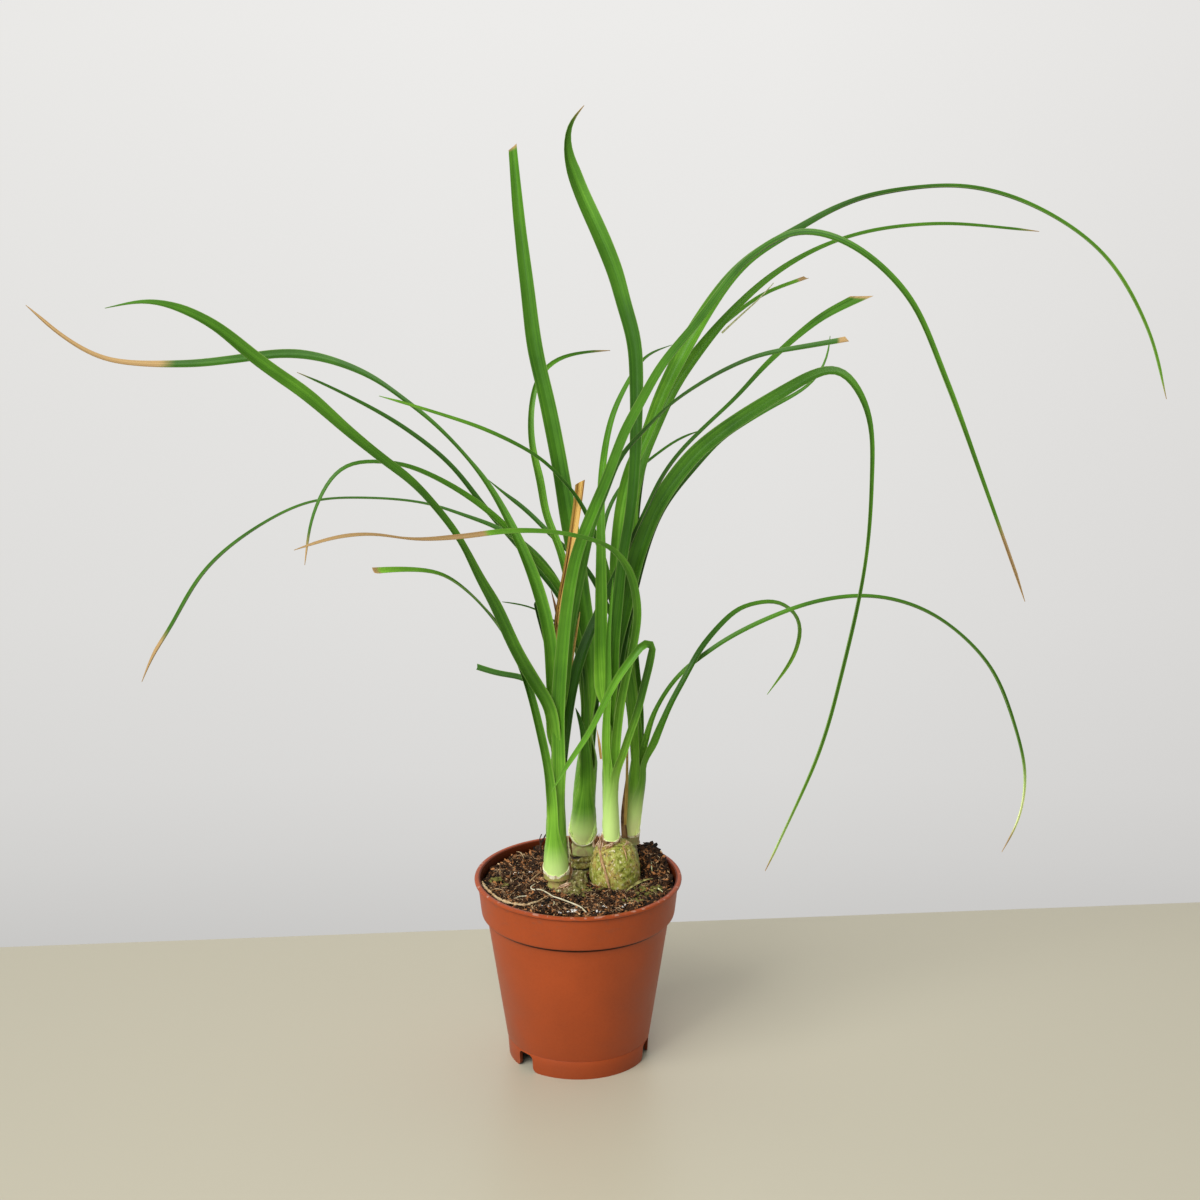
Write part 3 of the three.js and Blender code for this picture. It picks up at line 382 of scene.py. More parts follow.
            "dryFrom": 0.98},
        "underRight": {"route": [(15, 2, 104), (16, 6, 118), (16, 8, 161), (23, 13, 205), (35, 20, 242),
            (52, 22, 264), (61, 22, 274), (70, 23, 280), (81, 23, 287), (89, 24, 291), (97, 24, 296),
            (101, 25, 300), (104, 26, 305), (106, 27, 311), (106, 28, 317)],
            "width": [5.6, 5.6, 4.8, 3.8, 2.4, 0.7], "face": [(-0.6, -0.8, 0.1), (-0.4, -0.9, 0.2),
            (-0.2, -0.6, 0.8), (-0.8, -0.5, 0)], "shade": [0.5, 0.6, 0.4]},
        "folded": {"route": [(16, -3, 120), (17, -5, 134), (21, -8, 150), (25, -12, 164), (28, -16, 178),
            (30, -19, 188), (31, -21, 195), (31, -22, 198), (28, -24, 199), (26, -25, 197), (17, -26, 184),
            (6, -26, 161), (-5, -25, 143), (-11, -24, 132)],
            "width": [5, 4, 3.6, 3.6, 3.4, 3.2, 3, 2.4, 1.2], "face": [(0.4, -0.9, 0.1), (0.4, -0.9, 0.1),
            (0.3, -0.9, 0.4), (-0.5, -0.8, 0.4), (-0.4, -0.9, 0.3)],
            "shade": [0.2, 0.45, 0.64, 0.28, 0.28, 0.25], "relax": 1},
        "browning": {"route": [(15, -2, 119), (16, -4, 152), (19, -7, 174), (23, -10, 193), (25, -14, 209),
            (24, -17, 219), (22, -20, 228), (18, -24, 236), (13, -28, 242), (7, -32, 246), (-8, -40, 252),
            (-28, -51, 256), (-47, -62, 257), (-64, -71, 259), (-80, -79, 264), (-94, -86, 265),
            (-110, -93, 262)], "width": [5, 4.7, 4.4, 4.2, 3.9, 3.5, 2.4, 2.4, 2.9, 2.6, 1.1, 1.8, 1.1],
            "face": [(0.5, -0.9, 0.1), (0.6, -0.8, 0.1), (-0.2, -0.6, 0.8), (0, -0.55, 0.85),
            (0, -0.6, 0.8)], "shade": [0.3, 0.35, 0.35, 0.1, 0.1], "dryFrom": 0.69, "fade": 4},
        "palePoint": {"route": [(14, -3, 120), (12, -5, 148), (13, -7, 172), (13, -9, 195), (14, -9, 210),
            (15, -8, 222)], "width": [5, 3.6, 2.8, 2, 0.6], "face": [(-0.2, -1, 0), (0.1, -1, 0)],
            "shade": [0.4, 0.4]},
    },
    "right": {
        "highArch": {"route": [(25, 19, 111), (24, 21, 138), (22, 24, 165), (18, 27, 191), (16, 29, 213),
            (17, 31, 229), (19, 33, 243), (23, 35, 258), (30, 37, 272), (34, 39, 283), (39, 41, 294),
            (53, 46, 319), (72, 51, 343), (95, 55, 357), (108, 57, 364), (124, 58, 370), (162, 59, 374),
            (193, 56, 366), (222, 50, 347), (241, 41, 317), (249, 30, 289)],
            "width": [5.6, 6, 5, 5, 7, 5.8, 3.6, 3.2, 2.8, 2.6, 1.8], "face": [(-0.3, -1, 0.1),
            (0.1, -1, 0.1), (-0.3, -0.9, 0.3), (-0.2, -0.45, 0.9), (0, -0.15, 1), (0.6, -0.4, 0.8),
            (0.9, -0.6, 0.4)], "shade": [0.55, 0.25, 0.28, 0.8, 0.4, 0], "dryFrom": 0.985},
        "levelArch": {"route": [(26, 22, 109), (26, 25, 134), (23, 30, 158), (21, 34, 179), (21, 38, 206),
            (23, 40, 226), (23, 42, 238), (25, 43, 249), (28, 45, 260), (33, 46, 272), (38, 48, 283),
            (44, 51, 293), (62, 58, 315), (82, 64, 333), (104, 70, 345), (125, 75, 351), (156, 81, 353),
            (200, 89, 348)], "width": [5.6, 6, 6, 5.8, 5.8, 3.4, 2.4, 2.2, 1.4], "face": [(-0.3, -1, 0.1),
            (0.1, -1, 0.1), (-0.3, -0.9, 0.3), (-0.1, -0.4, 0.95), (0, -0.5, 0.9)],
            "shade": [0.45, 0.2, 0.35, 0.42], "dryFrom": 0.98},
        "cutArch": {"route": [(26, 20, 101), (26, 25, 115), (27, 30, 144), (24, 36, 179), (24, 42, 213),
            (28, 47, 253), (34, 51, 271), (43, 56, 288), (55, 62, 306), (65, 67, 314), (80, 76, 323),
            (99, 82, 329)], "width": [4.2, 3.8, 2.8, 2.2, 2.1], "face": [(-0.3, -1, 0.1), (0, -1, 0.1),
            (-0.3, -0.4, 0.9), (-0.1, -0.5, 0.9)], "shade": [0.35, 0.45, 0.6, 0.2], "dryFrom": 0.985,
            "cut": True},
        "acrossLeft": {"route": [(25, 17, 111), (24, 17, 142), (22, 17, 167), (18, 17, 186), (14, 17, 206),
            (11, 17, 221), (6, 14, 237), (1, 12, 249), (-6, 10, 259), (-16, 7, 270), (-37, 2, 283),
            (-57, -4, 292), (-81, -12, 302)], "width": [4.6, 4.2, 3.4, 1.6, 2.1, 1.4],
            "face": [(0.5, -0.9, 0.1), (0.4, -0.8, 0.4), (0.3, -0.6, 0.7), (0.1, -0.5, 0.9)],
            "shade": [0.55, 0.45, 0.45, 0.65, 0.3, 0.1]},
        "backLeft": {"route": [(26, 21, 100), (26, 28, 116), (25, 36, 141), (20, 43, 172), (12, 49, 190),
            (3, 53, 206), (-10, 58, 217), (-23, 64, 229), (-32, 68, 235), (-40, 72, 241)],
            "width": [4.2, 3.8, 3, 2.6, 2.4], "face": [(0.4, -0.9, 0.1), (0.4, -0.6, 0.7),
            (0.2, -0.5, 0.9)], "shade": [0.6, 0.6]},
        "lowArch": {"route": [(26, 22, 109), (27, 22, 126), (30, 23, 137), (32, 25, 146), (36, 27, 154),
            (42, 28, 163), (48, 29, 169), (55, 30, 174), (62, 31, 179), (80, 34, 188), (105, 38, 196),
            (131, 43, 196), (156, 47, 186), (180, 50, 163), (193, 51, 134), (199, 51, 109), (197, 50, 89),
            (190, 49, 73)], "width": [5.2, 2.2, 2.6, 2.7, 2.4, 2.4, 2.3, 1.3], "face": [(-0.5, -0.7, 0.3),
            (-0.3, -0.5, 0.8), (0.1, -0.2, 1), (0.7, -0.4, 0.7), (0.9, -0.6, 0)],
            "shade": [0.22, 0.4, 0.45, 0.42, 0.08], "dryFrom": 0.96},
        "lowHook": {"route": [(25, 16, 117), (30, 16, 131), (33, 17, 139), (37, 18, 148), (41, 20, 157),
            (46, 22, 165), (49, 24, 171), (53, 28, 177), (58, 33, 182), (70, 42, 191), (78, 46, 192),
            (88, 51, 191), (97, 55, 182), (96, 58, 166), (84, 61, 144)],
            "width": [4.4, 3, 2.8, 2.4, 3, 1.6], "face": [(-0.5, -0.7, 0.3), (-0.3, -0.5, 0.85),
            (0.2, -0.3, 1), (0.8, -0.6, 0.2)], "shade": [0.9, 0.7, 0.6, 0.2, 0]},
    },
    "dry": {
        "straw": {"route": [(-11, 6, 162), (-10, 6, 183), (-9, 5, 198), (-7, 7, 209), (-4, 10, 223),
            (-2, 13, 235), (0, 16, 248), (1, 18, 256)], "width": [1.4, 2.2, 3.1, 3.6, 3.7],
            "face": [(0.3, -0.9, 0.1), (0.1, -1, 0.1)], "cut": True},
    },
}
leafForm = {
    "step": 3.0,
    "relax": 5,  # rounds that smooth a route
    "across": 10,  # faces across a leaf, and across a narrow one
    "acrossNarrow": 6,
    "narrow": 2.6,
    "thick": 0.5,  # in the middle, and at the margins
    "margin": 0.16,
    "fold": 0.27,  # how far the margins rise, as a share of the width
    "taper": 0.07,  # how fast a tip widens from its point
    "slant": 0.35,  # how far a cut end slants, as a share of the width
    "clasp": 165,  # how far round the shoot a leaf's foot reaches, in degrees to each side
    "layer": 0.34,  # each inner leaf foot lies this much deeper, for up to so many layers
    "layers": 5,
    "stagger": 0.3,  # and starts this much higher
    "open": (30, 8),  # a foot opens from this far below to this far above the place where it leaves
    "free": 24,  # from there its section turns into a blade's over this length
    "leave": 45,  # and from the shoot's side to its own facing over this one
    "lit": (5, 70),  # leaves are lighter near the shoot, over these lengths
    "light": 0.7,
    "apart": 0.8,  # it leaves where its line is this share of the shoot's radius off the shoot's axis,
    "neck": 6,  # or this far below the top of the sheath
    "ahead": 4,  # the point this many steps on tells its side, or its facing does when that is closer
    "least": 1.5,
    "waver": (0.05, 22),  # how much its width and its fold waver, and over what length
    "foldWaver": (0.5, 40),
    "dryFrom": 1.2,  # past its tip, so a leaf without a value of its own has no dry end
    "shade": [0.5, 0.5],
    "cutFade": 2,  # a cut leaf turns dry within this much of its dryFrom, and a pointed one within the next
    "dryFade": 14,
}


def sheathAt(seedling, z):
    sheath, radius = seedling["sheath"], seedling["radius"]
    for p, q, r, s in zip(sheath, sheath[1:], radius, radius[1:]):
        if z <= q[2] or q is sheath[-1]:
            w = min(1.0, max(0.0, (z - p[2]) / (q[2] - p[2])))
            return Vector(p).lerp(Vector(q), w), r * (1 - w) + s * w


# Where a leaf leaves its shoot: the place along it, the side it leaves on, and which way it faces.
def departure(seedling, points, leaf):
    top = seedling["sheath"][-1][2] - leafForm["neck"]
    for i, p in enumerate(points):
        axis, radius = sheathAt(seedling, p.z)
        if (p - axis).xy.length > leafForm["apart"] * radius or p.z > top:
            break
    away = points[min(i + leafForm["ahead"], len(points) - 1)] - sheathAt(seedling, p.z)[0]
    face = Vector(leaf["face"][0])
    if away.xy.length < leafForm["least"]:
        away = -face if face.y > 0 else face
    radial = Vector((away.x, away.y, 0)).normalized()
    return i, radial, (1 if face.dot(radial) > 0 else -1)


# A leaf's sections from foot to tip, each one's place as (length from where it leaves, share of the
# whole), how many faces it has across and its length.
def leafRings(leaf, seedling, outer):
    form = leafForm
    points = relax(curvePoints(leaf["route"], form["step"]), leaf.get("relax", form["relax"]))
    count = form["across"] if max(leaf["width"]) > form["narrow"] else form["acrossNarrow"]
    if seedling:
        start, radial, turn = departure(seedling, points, leaf)
        points = points[start:]
    tangents, lengths = tangentsAlong(points), lengthsAlong(points)
    whole, leaveZ = lengths[-1], points[0].z
    below, above = form["open"]
    seed = Vector((len(leaf["route"]), leaf["width"][0] * 3.1, leaf.get("shade", form["shade"])[0] * 17))
    rings, places = [], []

    def section(half, thick, lift, place, side, up):
        top, low = [], []
        for k in range(count + 1):
            s = 2 * k / count - 1
            rise = lift * abs(s) ** 1.25
            body = form["margin"] + (thick - form["margin"]) * (1 - s * s)
            top.append(place + side * (half * s) + up * rise)
            low.append(place + side * (half * s) + up * (rise - body))
        return top + low[::-1]

    def clasp(z, natural):
        axis, radius = sheathAt(seedling, z)
        rho = radius - form["layer"] * sum(1 - smooth(other - below, other + above, z) for other in outer)
        shrink = smooth(leaveZ - below, leaveZ + above, z)
        reach = math.radians(form["clasp"]) * (1 - shrink) + min(1.6, natural / max(rho, 1)) * shrink
        middle = math.atan2(radial.y, radial.x)
        top, low = [], []
        for k in range(count + 1):
            angle = middle + turn * (2 * k / count - 1) * reach
            out = Vector((math.cos(angle), math.sin(angle), 0))
            spot = Vector((axis.x, axis.y, z))
            outside, inside = spot + out * rho, spot + out * (rho - form["thick"])
            top.append(outside if turn > 0 else inside)
            low.append(inside if turn > 0 else outside)
        return top + low[::-1]

    if seedling:
        z = seedling["foot"] + form["stagger"] * len(outer)
        while z < leaveZ - 1:
            rings.append(clasp(z, leaf["width"][0] / 2))
            places.append((z - leaveZ, 0.0))
            z += form["step"]
    for point, tangent, length in zip(points, tangents, lengths):
        u = length / whole
        up = along(leaf["face"], u)
        if seedling:
            up = (radial * turn).lerp(up.normalized(), smooth(0, form["leave"], length))
        up = (up - tangent * up.dot(tangent)).normalized()
        much, run = form["waver"]
        half = along(leaf["width"], u) / 2 * (1 + much * noise.noise(seed + Vector((0, 0, length / run))))
        if not leaf.get("cut"):
            half = min(half, 0.1 + leaf.get("taper", form["taper"]) * (whole - length))
        much, run = form["foldWaver"]
        fold = form["fold"] * (1 + much * noise.noise(seed * 2 + Vector((0, length / run, 0))))
        thick = form["thick"] * min(1, 0.35 + half / 2.2)
        ring = section(half, thick, 2 * half * fold, point, tangent.cross(up), up)
        if seedling and length < form["free"]:
            w = smooth(0, form["free"], length)
            ring = [p.lerp(q, w) for p, q in zip(clasp(point.z, half), ring)]
        rings.append(ring)
        places.append((length, u))
    if leaf.get("cut"):
        slant = leaf["width"][-1] * leaf.get("slant", form["slant"])
        feet = len(rings) - len(points)
        for i, (tangent, length) in enumerate(zip(tangents, lengths), feet):
            push = slant * max(0.0, 1 - (whole - length) / (2 * slant))
            rings[i] = [p + tangent * push * (2 * min(k, 2 * count + 1 - k) / count - 1)
                        for k, p in enumerate(rings[i])]
    return rings, places, count, whole


# The pale foot's tone; past 1 it is painted light on the feet of the back shoots.
def paleness(seedling, height):
    return (1 - smooth(0, seedling["pale"], height)) * seedling["paintedLight"]


def addLeaf(name, leaf, material, seedling=None, outer=(), replaced=()):
    rings, places, count, whole = leafRings(leaf, seedling, outer)
    size = len(rings[0])
    form = leafForm
    dryFrom = leaf.get("dryFrom", form["dryFrom"]) * whole
    ragged = leaf.get("fade", form["cutFade" if leaf.get("cut") else "dryFade"])
    uvs, tones = [], []
    for ring, (length, u) in zip(rings, places):
        dry = smooth(dryFrom - ragged, dryFrom + ragged, length)
        pale = paleness(seedling, ring[0].z - seedling["foot"]) if seedling else 0.0
        light = 1 - smooth(*form["lit"], length)
        shade = along(leaf.get("shade", form["shade"]), u) * (1 - form["light"] * light)
        uvs += [(min(k, 2 * count + 1 - k) / count, length * 0.01) for k in range(size)]
        tones += [(dry, pale, shade, 1.0)] * size
    points = [p for ring in rings for p in ring]
    return newPiece(name, points, ringFaces(len(rings), size), material, replaced, uvs, tones, 50)


leafColours = {
    "green": [(0.0, (0.27, 0.57, 0.05)), (0.3, (0.105, 0.285, 0.02)), (0.6, (0.045, 0.145, 0.012)),
              (1.0, (0.015, 0.05, 0.006))],
    "vein": (0.6, 0.72, 0.5),
    "margin": (0.3, 0.42, 0.12),
    "pale": (0.63, 0.85, 0.28),
    # painted light: a brighter pale green for the back shoots' feet, which lie in shade
    "paintedLight": (0.88, 1.0, 0.42),
    "dry": [(0.25, (0.25, 0.125, 0.04)), (0.55, (0.47, 0.31, 0.13)), (0.8, (0.62, 0.49, 0.27))],
    "straw": [(0.4, (0.13, 0.055, 0.015)), (0.46, (0.36, 0.17, 0.035)), (0.5, (0.6, 0.36, 0.08)),
              (0.7, (0.72, 0.5, 0.16))],
    "veins": (30, 1.2, 1),  # how often these change across and along a leaf
    "stripes": (7, 0.5, 1),
    "streaks": (5, 1.1, 1),
}


def leafMaterial():
    material, shader = newMaterial("leafGreen", Specular_IOR_Level=0.2)
    tree, look = material.node_tree, leafColours
    dry, pale, shade = tonesOf(tree)
    place = addNode(tree, "UVMap", "UV", {"uv_map": "leafPlace"})
    veins, stripes = [speckle(stretched(place, look[kind]), 1.0, 2.0, 0.5) for kind in ("veins", "stripes")]
    offMiddle = mathNode("ABSOLUTE", mathNode("SUBTRACT", axisOf(place, "X"), 0.5))
    patches = speckle(objectPoint(tree), 45, 3)
    darker = mathNode("ADD", shade, band(patches, 0.3, 0.7, -0.1, 0.1))
    darker = mathNode("ADD", darker, band(stripes, 0.35, 0.65, -0.1, 0.1), True)
    green = ramp(darker, look["green"])
    green = mixColour(band(veins, 0.4, 0.6, 0.0, 0.6), green, look["vein"], "MULTIPLY")
    green = mixColour(band(offMiddle, 0.44, 0.49, 0.0, 0.5), green, look["margin"])
    green = mixColour(pale, green, look["pale"])
    # Painted light: where the pale tone passes 1, the back shoots' feet turn a brighter green.
    green = mixColour(band(pale, 1.0, 1.5), green, look["paintedLight"])
    ragged = mathNode("ADD", dry, band(veins, 0.3, 0.7, -0.25, 0.25))
    dryness = band(times(ragged, dry), 0.15, 0.6)
    colour = mixColour(dryness, green, ramp(veins, look["dry"]))
    setSockets(shader, Base_Color=colour, Roughness=band(dryness, 0, 1, 0.4, 0.75))
    bump(shader, veins, 0.3, 0.0002)
    return material


def strawMaterial():
    material, shader = newMaterial("strawDry", Roughness=0.6, Specular_IOR_Level=0.2)
    place = addNode(material.node_tree, "UVMap", "UV", {"uv_map": "leafPlace"})
    streaks = speckle(stretched(place, leafColours["streaks"]), 1.0, 1.0, 0.6)
    setSockets(shader, Base_Color=ramp(streaks, leafColours["straw"]))
    bump(shader, streaks, 0.4, 0.0003)
    return material


# It starts and ends a little inside the sheath's foot and top.
heart = {"count": 16, "levels": 15, "inside": 2, "shade": 0.4, "foot": 0.5, "top": 4}


# The shoot's heart, inside the leaf feet.
def addHeart(name, seedling, material):
    low, high = seedling["foot"] + heart["foot"], seedling["sheath"][-1][2] - heart["top"]
    points, tones = [], []
    for k in range(heart["levels"]):
        z = low + (high - low) * k / (heart["levels"] - 1)
        axis, radius = sheathAt(seedling, z)
        points += turned([(max(0.4, radius - heart["inside"]), z)], heart["count"], axis.xy)
        tones += [(0.0, paleness(seedling, z - low), heart["shade"], 1.0)] * heart["count"]
    uvs = [(0.5, z * 0.01) for _, _, z in points]
    faces = ringFaces(heart["levels"], heart["count"])
    newPiece(name, points, faces, material, (), uvs, tones, 60)


# The leaves of a shoot wrap it in the order in which they leave it, the lowest outside.
def addShoot(place, seedling, material):
    departures = []
    for name, leaf in leaves[place].items():
        points = relax(curvePoints(leaf["route"], leafForm["step"]), leafForm["relax"])
        leaveZ = points[departure(seedling, points, leaf)[0]].z
        departures.append((leaveZ - max(leaf["width"]), leaveZ, name))
    outer = []
    for _, leaveZ, name in sorted(departures):
        title, around = "leaf" + name[0].upper() + name[1:], outer[:leafForm["layers"]]
        addLeaf(title, leaves[place][name], material, seedling, around, ("leaves_" + place,))
        outer.append(leaveZ)
    addHeart("heart" + place.capitalize(), seedling, material)
    print("leaves of the", place, "seedling")


green = leafMaterial()
for place, seedling in seedlings.items():
    addShoot(place, seedling, green)
addLeaf("strawLeaf", leaves["dry"]["straw"], strawMaterial(), replaced=("straw_leaf",))
print("straw leaf")

# Profiles are (radius, height).
pot = {
    "outside": [(30.4, 0), (30.5, 0.4), (31, 8.2), (30.85, 8.6), (31.3, 9.2), (38.95, 60.6), (39.53, 64.5),
                (39.72, 64.95), (40.6, 65.6), (41.4, 66.2), (41.85, 66.8), (42.05, 67.5), (42.2, 68.6),
                (43.55, 81), (44.4, 81.3), (44.9, 81.7), (45, 82.2), (44.85, 82.7), (44.4, 83), (43.6, 83)],
    "inside": [(42.6, 82.7), (42.35, 82.0), (41.0, 68.2), (40.1, 66.6), (38.7, 65.2), (38.2, 63.6),
               (37.85, 61.4), (30.15, 10.8)],
    "crease": (64.2, 64.9, 65.4),  # the dark line under the band, painted shade of its inner corner with some dirt: its foot, its middle and its top
    "skirtTop": (9.5, 5.5),  # painted shade darkens the skirt near the floor over these heights
    "dirty": (66, 84),  # dirt gathers on the band over these
    "insideShadeHeights": (78, 83),  # and the painted shade inside the pot lightens over these
    "lipInside": ((43.4, 43.1), (81.5, 82)),  # radii and heights over which the inner side starts,
    "lipEdge": ((43.7, 44), (82.4, 82.8)),  # and over which the lip gets worn spots that also stand for painted highlight
    "skirtInside": 29.2,
    "floor": 9.2,
    "floorTop": 10.7,
    "sides": 160,
    "sharp": 35,
    "colour": (0.365, 0.058, 0.0075),
    "dust": (0.8, 0.72, 0.66),
    "dirt": (0.16, 0.06, 0.035),
    # painted shade with some dirt in the corner under the band
    "creaseShadeAndDirt": (0.09, 0.015, 0.004),
    # painted shade near the floor
    "skirt": (0.2, 0.034, 0.006),
    "insideShade": [(0, (0.012, 0.003, 0.001)), (1, (0.11, 0.018, 0.004))],  # painted shade inside, from low to high
    "wornAndHighlight": (0.62, 0.42, 0.32),  # worn spots and painted highlight along the lip
}
notches = {"angles": (-48, 74.5, 193), "width": 8.5, "height": 8.0, "round": 2.2, "foot": 2.4, "depth": 8}
drains = {"radius": 3, "ring": 19, "count": 4, "heights": (7, 13), "sides": 32}


# From 0 to 1 between two places in millimetres.
def fade(value, ends, *out):
    return band(value, ends[0] * mm, ends[1] * mm, *out)


def potMaterial():
    material, shader = newMaterial("terracottaPlastic")
    tree = material.node_tree
    point = objectPoint(tree)
    cloudy, grain = speckle(point, 40, 5), speckle(point, 900, 2)
    height = axisOf(point, "Z")
    dark, light = [[c * much for c in pot["colour"]] for much in (0.9, 1.08)]
    colour = ramp(cloudy, [(0.3, dark), (0.7, light)])
    colour = mixColour(band(grain, 0.45, 0.75, 0.0, 0.3), colour, pot["dust"], "MULTIPLY")
    streaky = speckle(objectPoint(tree, (1, 1, 2)), 260, 3)
    dirt = times(fade(height, pot["dirty"]), band(streaky, 0.56, 0.66), True)
    colour = mixColour(times(dirt, 0.35), colour, pot["dirt"])
    # Painted shade with some dirt in the concave corner under the band.
    foot, middle, top = pot["crease"]
    crease = times(fade(height, (foot, middle)), fade(height, (top, middle)))
    colour = mixColour(times(crease, 0.35), colour, pot["creaseShadeAndDirt"])
    # Painted shade on the skirt near the floor.
    colour = mixColour(fade(height, pot["skirtTop"], 0.0, 0.35), colour, pot["skirt"])
    normal = addNode(tree, "NewGeometry", "Normal")
    facing = addNode(tree, "VectorMath", "Value", {"operation": "DOT_PRODUCT"}, i0=point, i1=normal)
    flat = addNode(tree, "VectorMath", 0, {"operation": "MULTIPLY"}, i0=point, i1=(1, 1, 0))
    reach = addNode(tree, "VectorMath", "Value", {"operation": "LENGTH"}, i0=flat)
    lip, edge = [times(fade(reach, radii), fade(height, heights))
                 for radii, heights in (pot["lipInside"], pot["lipEdge"])]
    inner = mathNode("ADD", band(facing, 0.0, -0.01), lip, True)
    # Painted shade inside the pot, darkest low down.
    colour = mixColour(inner, colour, ramp(fade(height, pot["insideShadeHeights"]), pot["insideShade"]))
    # Worn spots with painted highlight along the lip's edge.
    rubbedAndHighlight = times(edge, band(speckle(point, 330, 2), 0.6, 0.66, 0.0, 0.4))
    colour = mixColour(rubbedAndHighlight, colour, pot["wornAndHighlight"])
    setSockets(shader, Base_Color=colour, Specular_IOR_Level=band(inner, 0, 1, 0.38, 0.1),
               Roughness=band(cloudy, 0.3, 0.7, 0.4, 0.52))
    bump(shader, grain, 0.12, 0.0001)
    return material


# Cuts the closed shape that these rings make out of a piece.
def cutFrom(piece, points, size):
    mesh = bpy.data.meshes.new("cutter")
    mesh.from_pydata([Vector(p) * mm for p in points], [], ringFaces(2, size))
    tool = newObject("cutter", mesh)
    cut = piece.modifiers.new("cut", "BOOLEAN")
    cut.operation = "DIFFERENCE"
    cut.solver = "EXACT"
    cut.object = tool
    bpy.context.view_layer.update()
    seen = bpy.context.evaluated_depsgraph_get()
    mesh = bpy.data.meshes.new_from_object(piece.evaluated_get(seen))
    piece.modifiers.remove(cut)
    piece.data = mesh
    bpy.data.objects.remove(tool)


# A notch's outline, as (across, height), with a rounded head and flared feet.
def notchOutline():
    half, height, head, foot = notches["width"] / 2, notches["height"], notches["round"], notches["foot"]
    right = [(half + foot, -1), (half + foot, 0)]
    turns = [(math.sin(math.pi / 12 * k), math.cos(math.pi / 12 * k)) for k in range(7)]
    right += [(half + foot - foot * s, foot - foot * c) for s, c in turns[1:]]
    right += [(half - head + head * c, height - head + head * s) for s, c in turns]
    return right + [(-x, z) for x, z in reversed(right)]


def addPot():
    floor, inside, sides = pot["floor"], pot["skirtInside"], pot["sides"]
    profile = [(0.01, floor), (inside + 0.1, floor), (inside, 0.0)]
    profile += pot["outside"] + pot["inside"] + [(0.01, pot["floorTop"])]
    points, faces, sharp = turned(profile, sides), ringFaces(len(profile), sides), pot["sharp"]
    piece = newPiece("nurseryPot", points, faces, potMaterial(), ("pot",), sharp=sharp)
    outline = notchOutline()
    for angle in notches["angles"]:
        c, s = math.cos(math.radians(angle)), math.sin(math.radians(angle))
        points = [(x * c + depth * s, x * s - depth * c, z)
                  for depth in (inside - notches["depth"] / 2, inside + notches["depth"]) for x, z in outline]
        cutFrom(piece, points, len(outline))
    for k in range(drains["count"]):
        angle = 2 * math.pi * (k + 0.5) / drains["count"]
        centre = (drains["ring"] * math.cos(angle), drains["ring"] * math.sin(angle))
        hole = [(drains["radius"], z) for z in drains["heights"]]
        cutFrom(piece, turned(hole, drains["sides"], centre), drains["sides"])
    piece.data.polygons.foreach_set("use_smooth", [True] * len(piece.data.polygons))
    piece.data.set_sharp_from_angle(angle=math.radians(sharp))


addPot()
print("pot")

soil = {
    "level": 79,
    "heap": (33, 21, 8, 9),  # x, y, rise, spread
    "front": 1.6,
    "bump": 0.6,
    "sectors": 180,
    "rings": 62,
    "rim": 41.2,
    "below": [(40.5, 67.4), (37.4, 61.4), (29.8, 11.2)],  # the profile inside the pot
    "colours": ((0.004, 0.002, 0.001), (0.05, 0.024, 0.011)),
    "rough": 1.1,  # the small bumps, where "bump" is the wide ones
    "reach": {"crumbs": 40.6, "fibres": 39, "tips": 40.5, "grains": 40},  # how far out these may lie,
    "lift": {"crumbs": 0.7, "fibres": (1, 2), "roots": 1.5, "stick": 1.2},  # and how far above the soil
    "clear": (0.82, 0.3),  # they stay clear of this share of a bulb's radius and this much more
}
# How many crumbs of each kind, their smallest and largest size, and their colours.
crumbKinds = {
    "dark": {"count": 2100, "size": (0.3, 1.1), "colours": ((0.004, 0.002, 0.001), (0.05, 0.02, 0.006))},
    "red": {"count": 2700, "size": (0.2, 0.75), "colours": ((0.05, 0.018, 0.005), (0.48, 0.2, 0.07))},
    "tan": {"count": 560, "size": (0.2, 0.5), "colours": ((0.36, 0.2, 0.07), (0.88, 0.62, 0.34))},
}
fibreKinds = {
    "dark": {"count": 420, "radius": (0.12, 0.26), "colours": ((0.02, 0.01, 0.005), (0.12, 0.06, 0.03))},
    "tan": {"count": 420, "radius": (0.08, 0.18), "colours": ((0.22, 0.11, 0.05), (0.6, 0.42, 0.24))},
}
fibreForm = {"length": (1.5, 5), "bend": 0.8}


# How much of the heap lies at a place, from 0 to 1.
def heaped(x, y):
    hx, hy, _, spread = soil["heap"]
    return math.exp(-((x - hx) ** 2 + (y - hy) ** 2) / (2 * spread ** 2))


def soilTop(x, y):
    bumps = math.sin(0.33 * x + 0.8) * math.cos(0.37 * y - 0.4) + 0.5 * math.sin(0.29 * (x + y) + 2)
    heap = soil["heap"][2] * heaped(x, y)
    return soil["level"] + heap + soil["front"] * max(0, -y / 40) + soil["bump"] * bumps


# A dry finish with grain of two colours. With apart, each loose bit gets its own tone as well.
def grainMaterial(name, dark, light, scale, rough=0.8, stretch=(1, 1, 1), depth=0.0002, apart=0.0):
    material, shader = newMaterial(name, Roughness=rough, Specular_IOR_Level=0.25)
    grain = tone = speckle(objectPoint(material.node_tree, stretch), scale, 4, 0.6)
    if apart:
        bit = addNode(material.node_tree, "NewGeometry", "Random Per Island")
        tone = mathNode("ADD", grain, band(bit, 0, 1, -apart, apart))
    setSockets(shader, Base_Color=ramp(tone, [(0.32, dark), (0.68, light)]))
    bump(shader, grain, 0.5, depth)
    return material


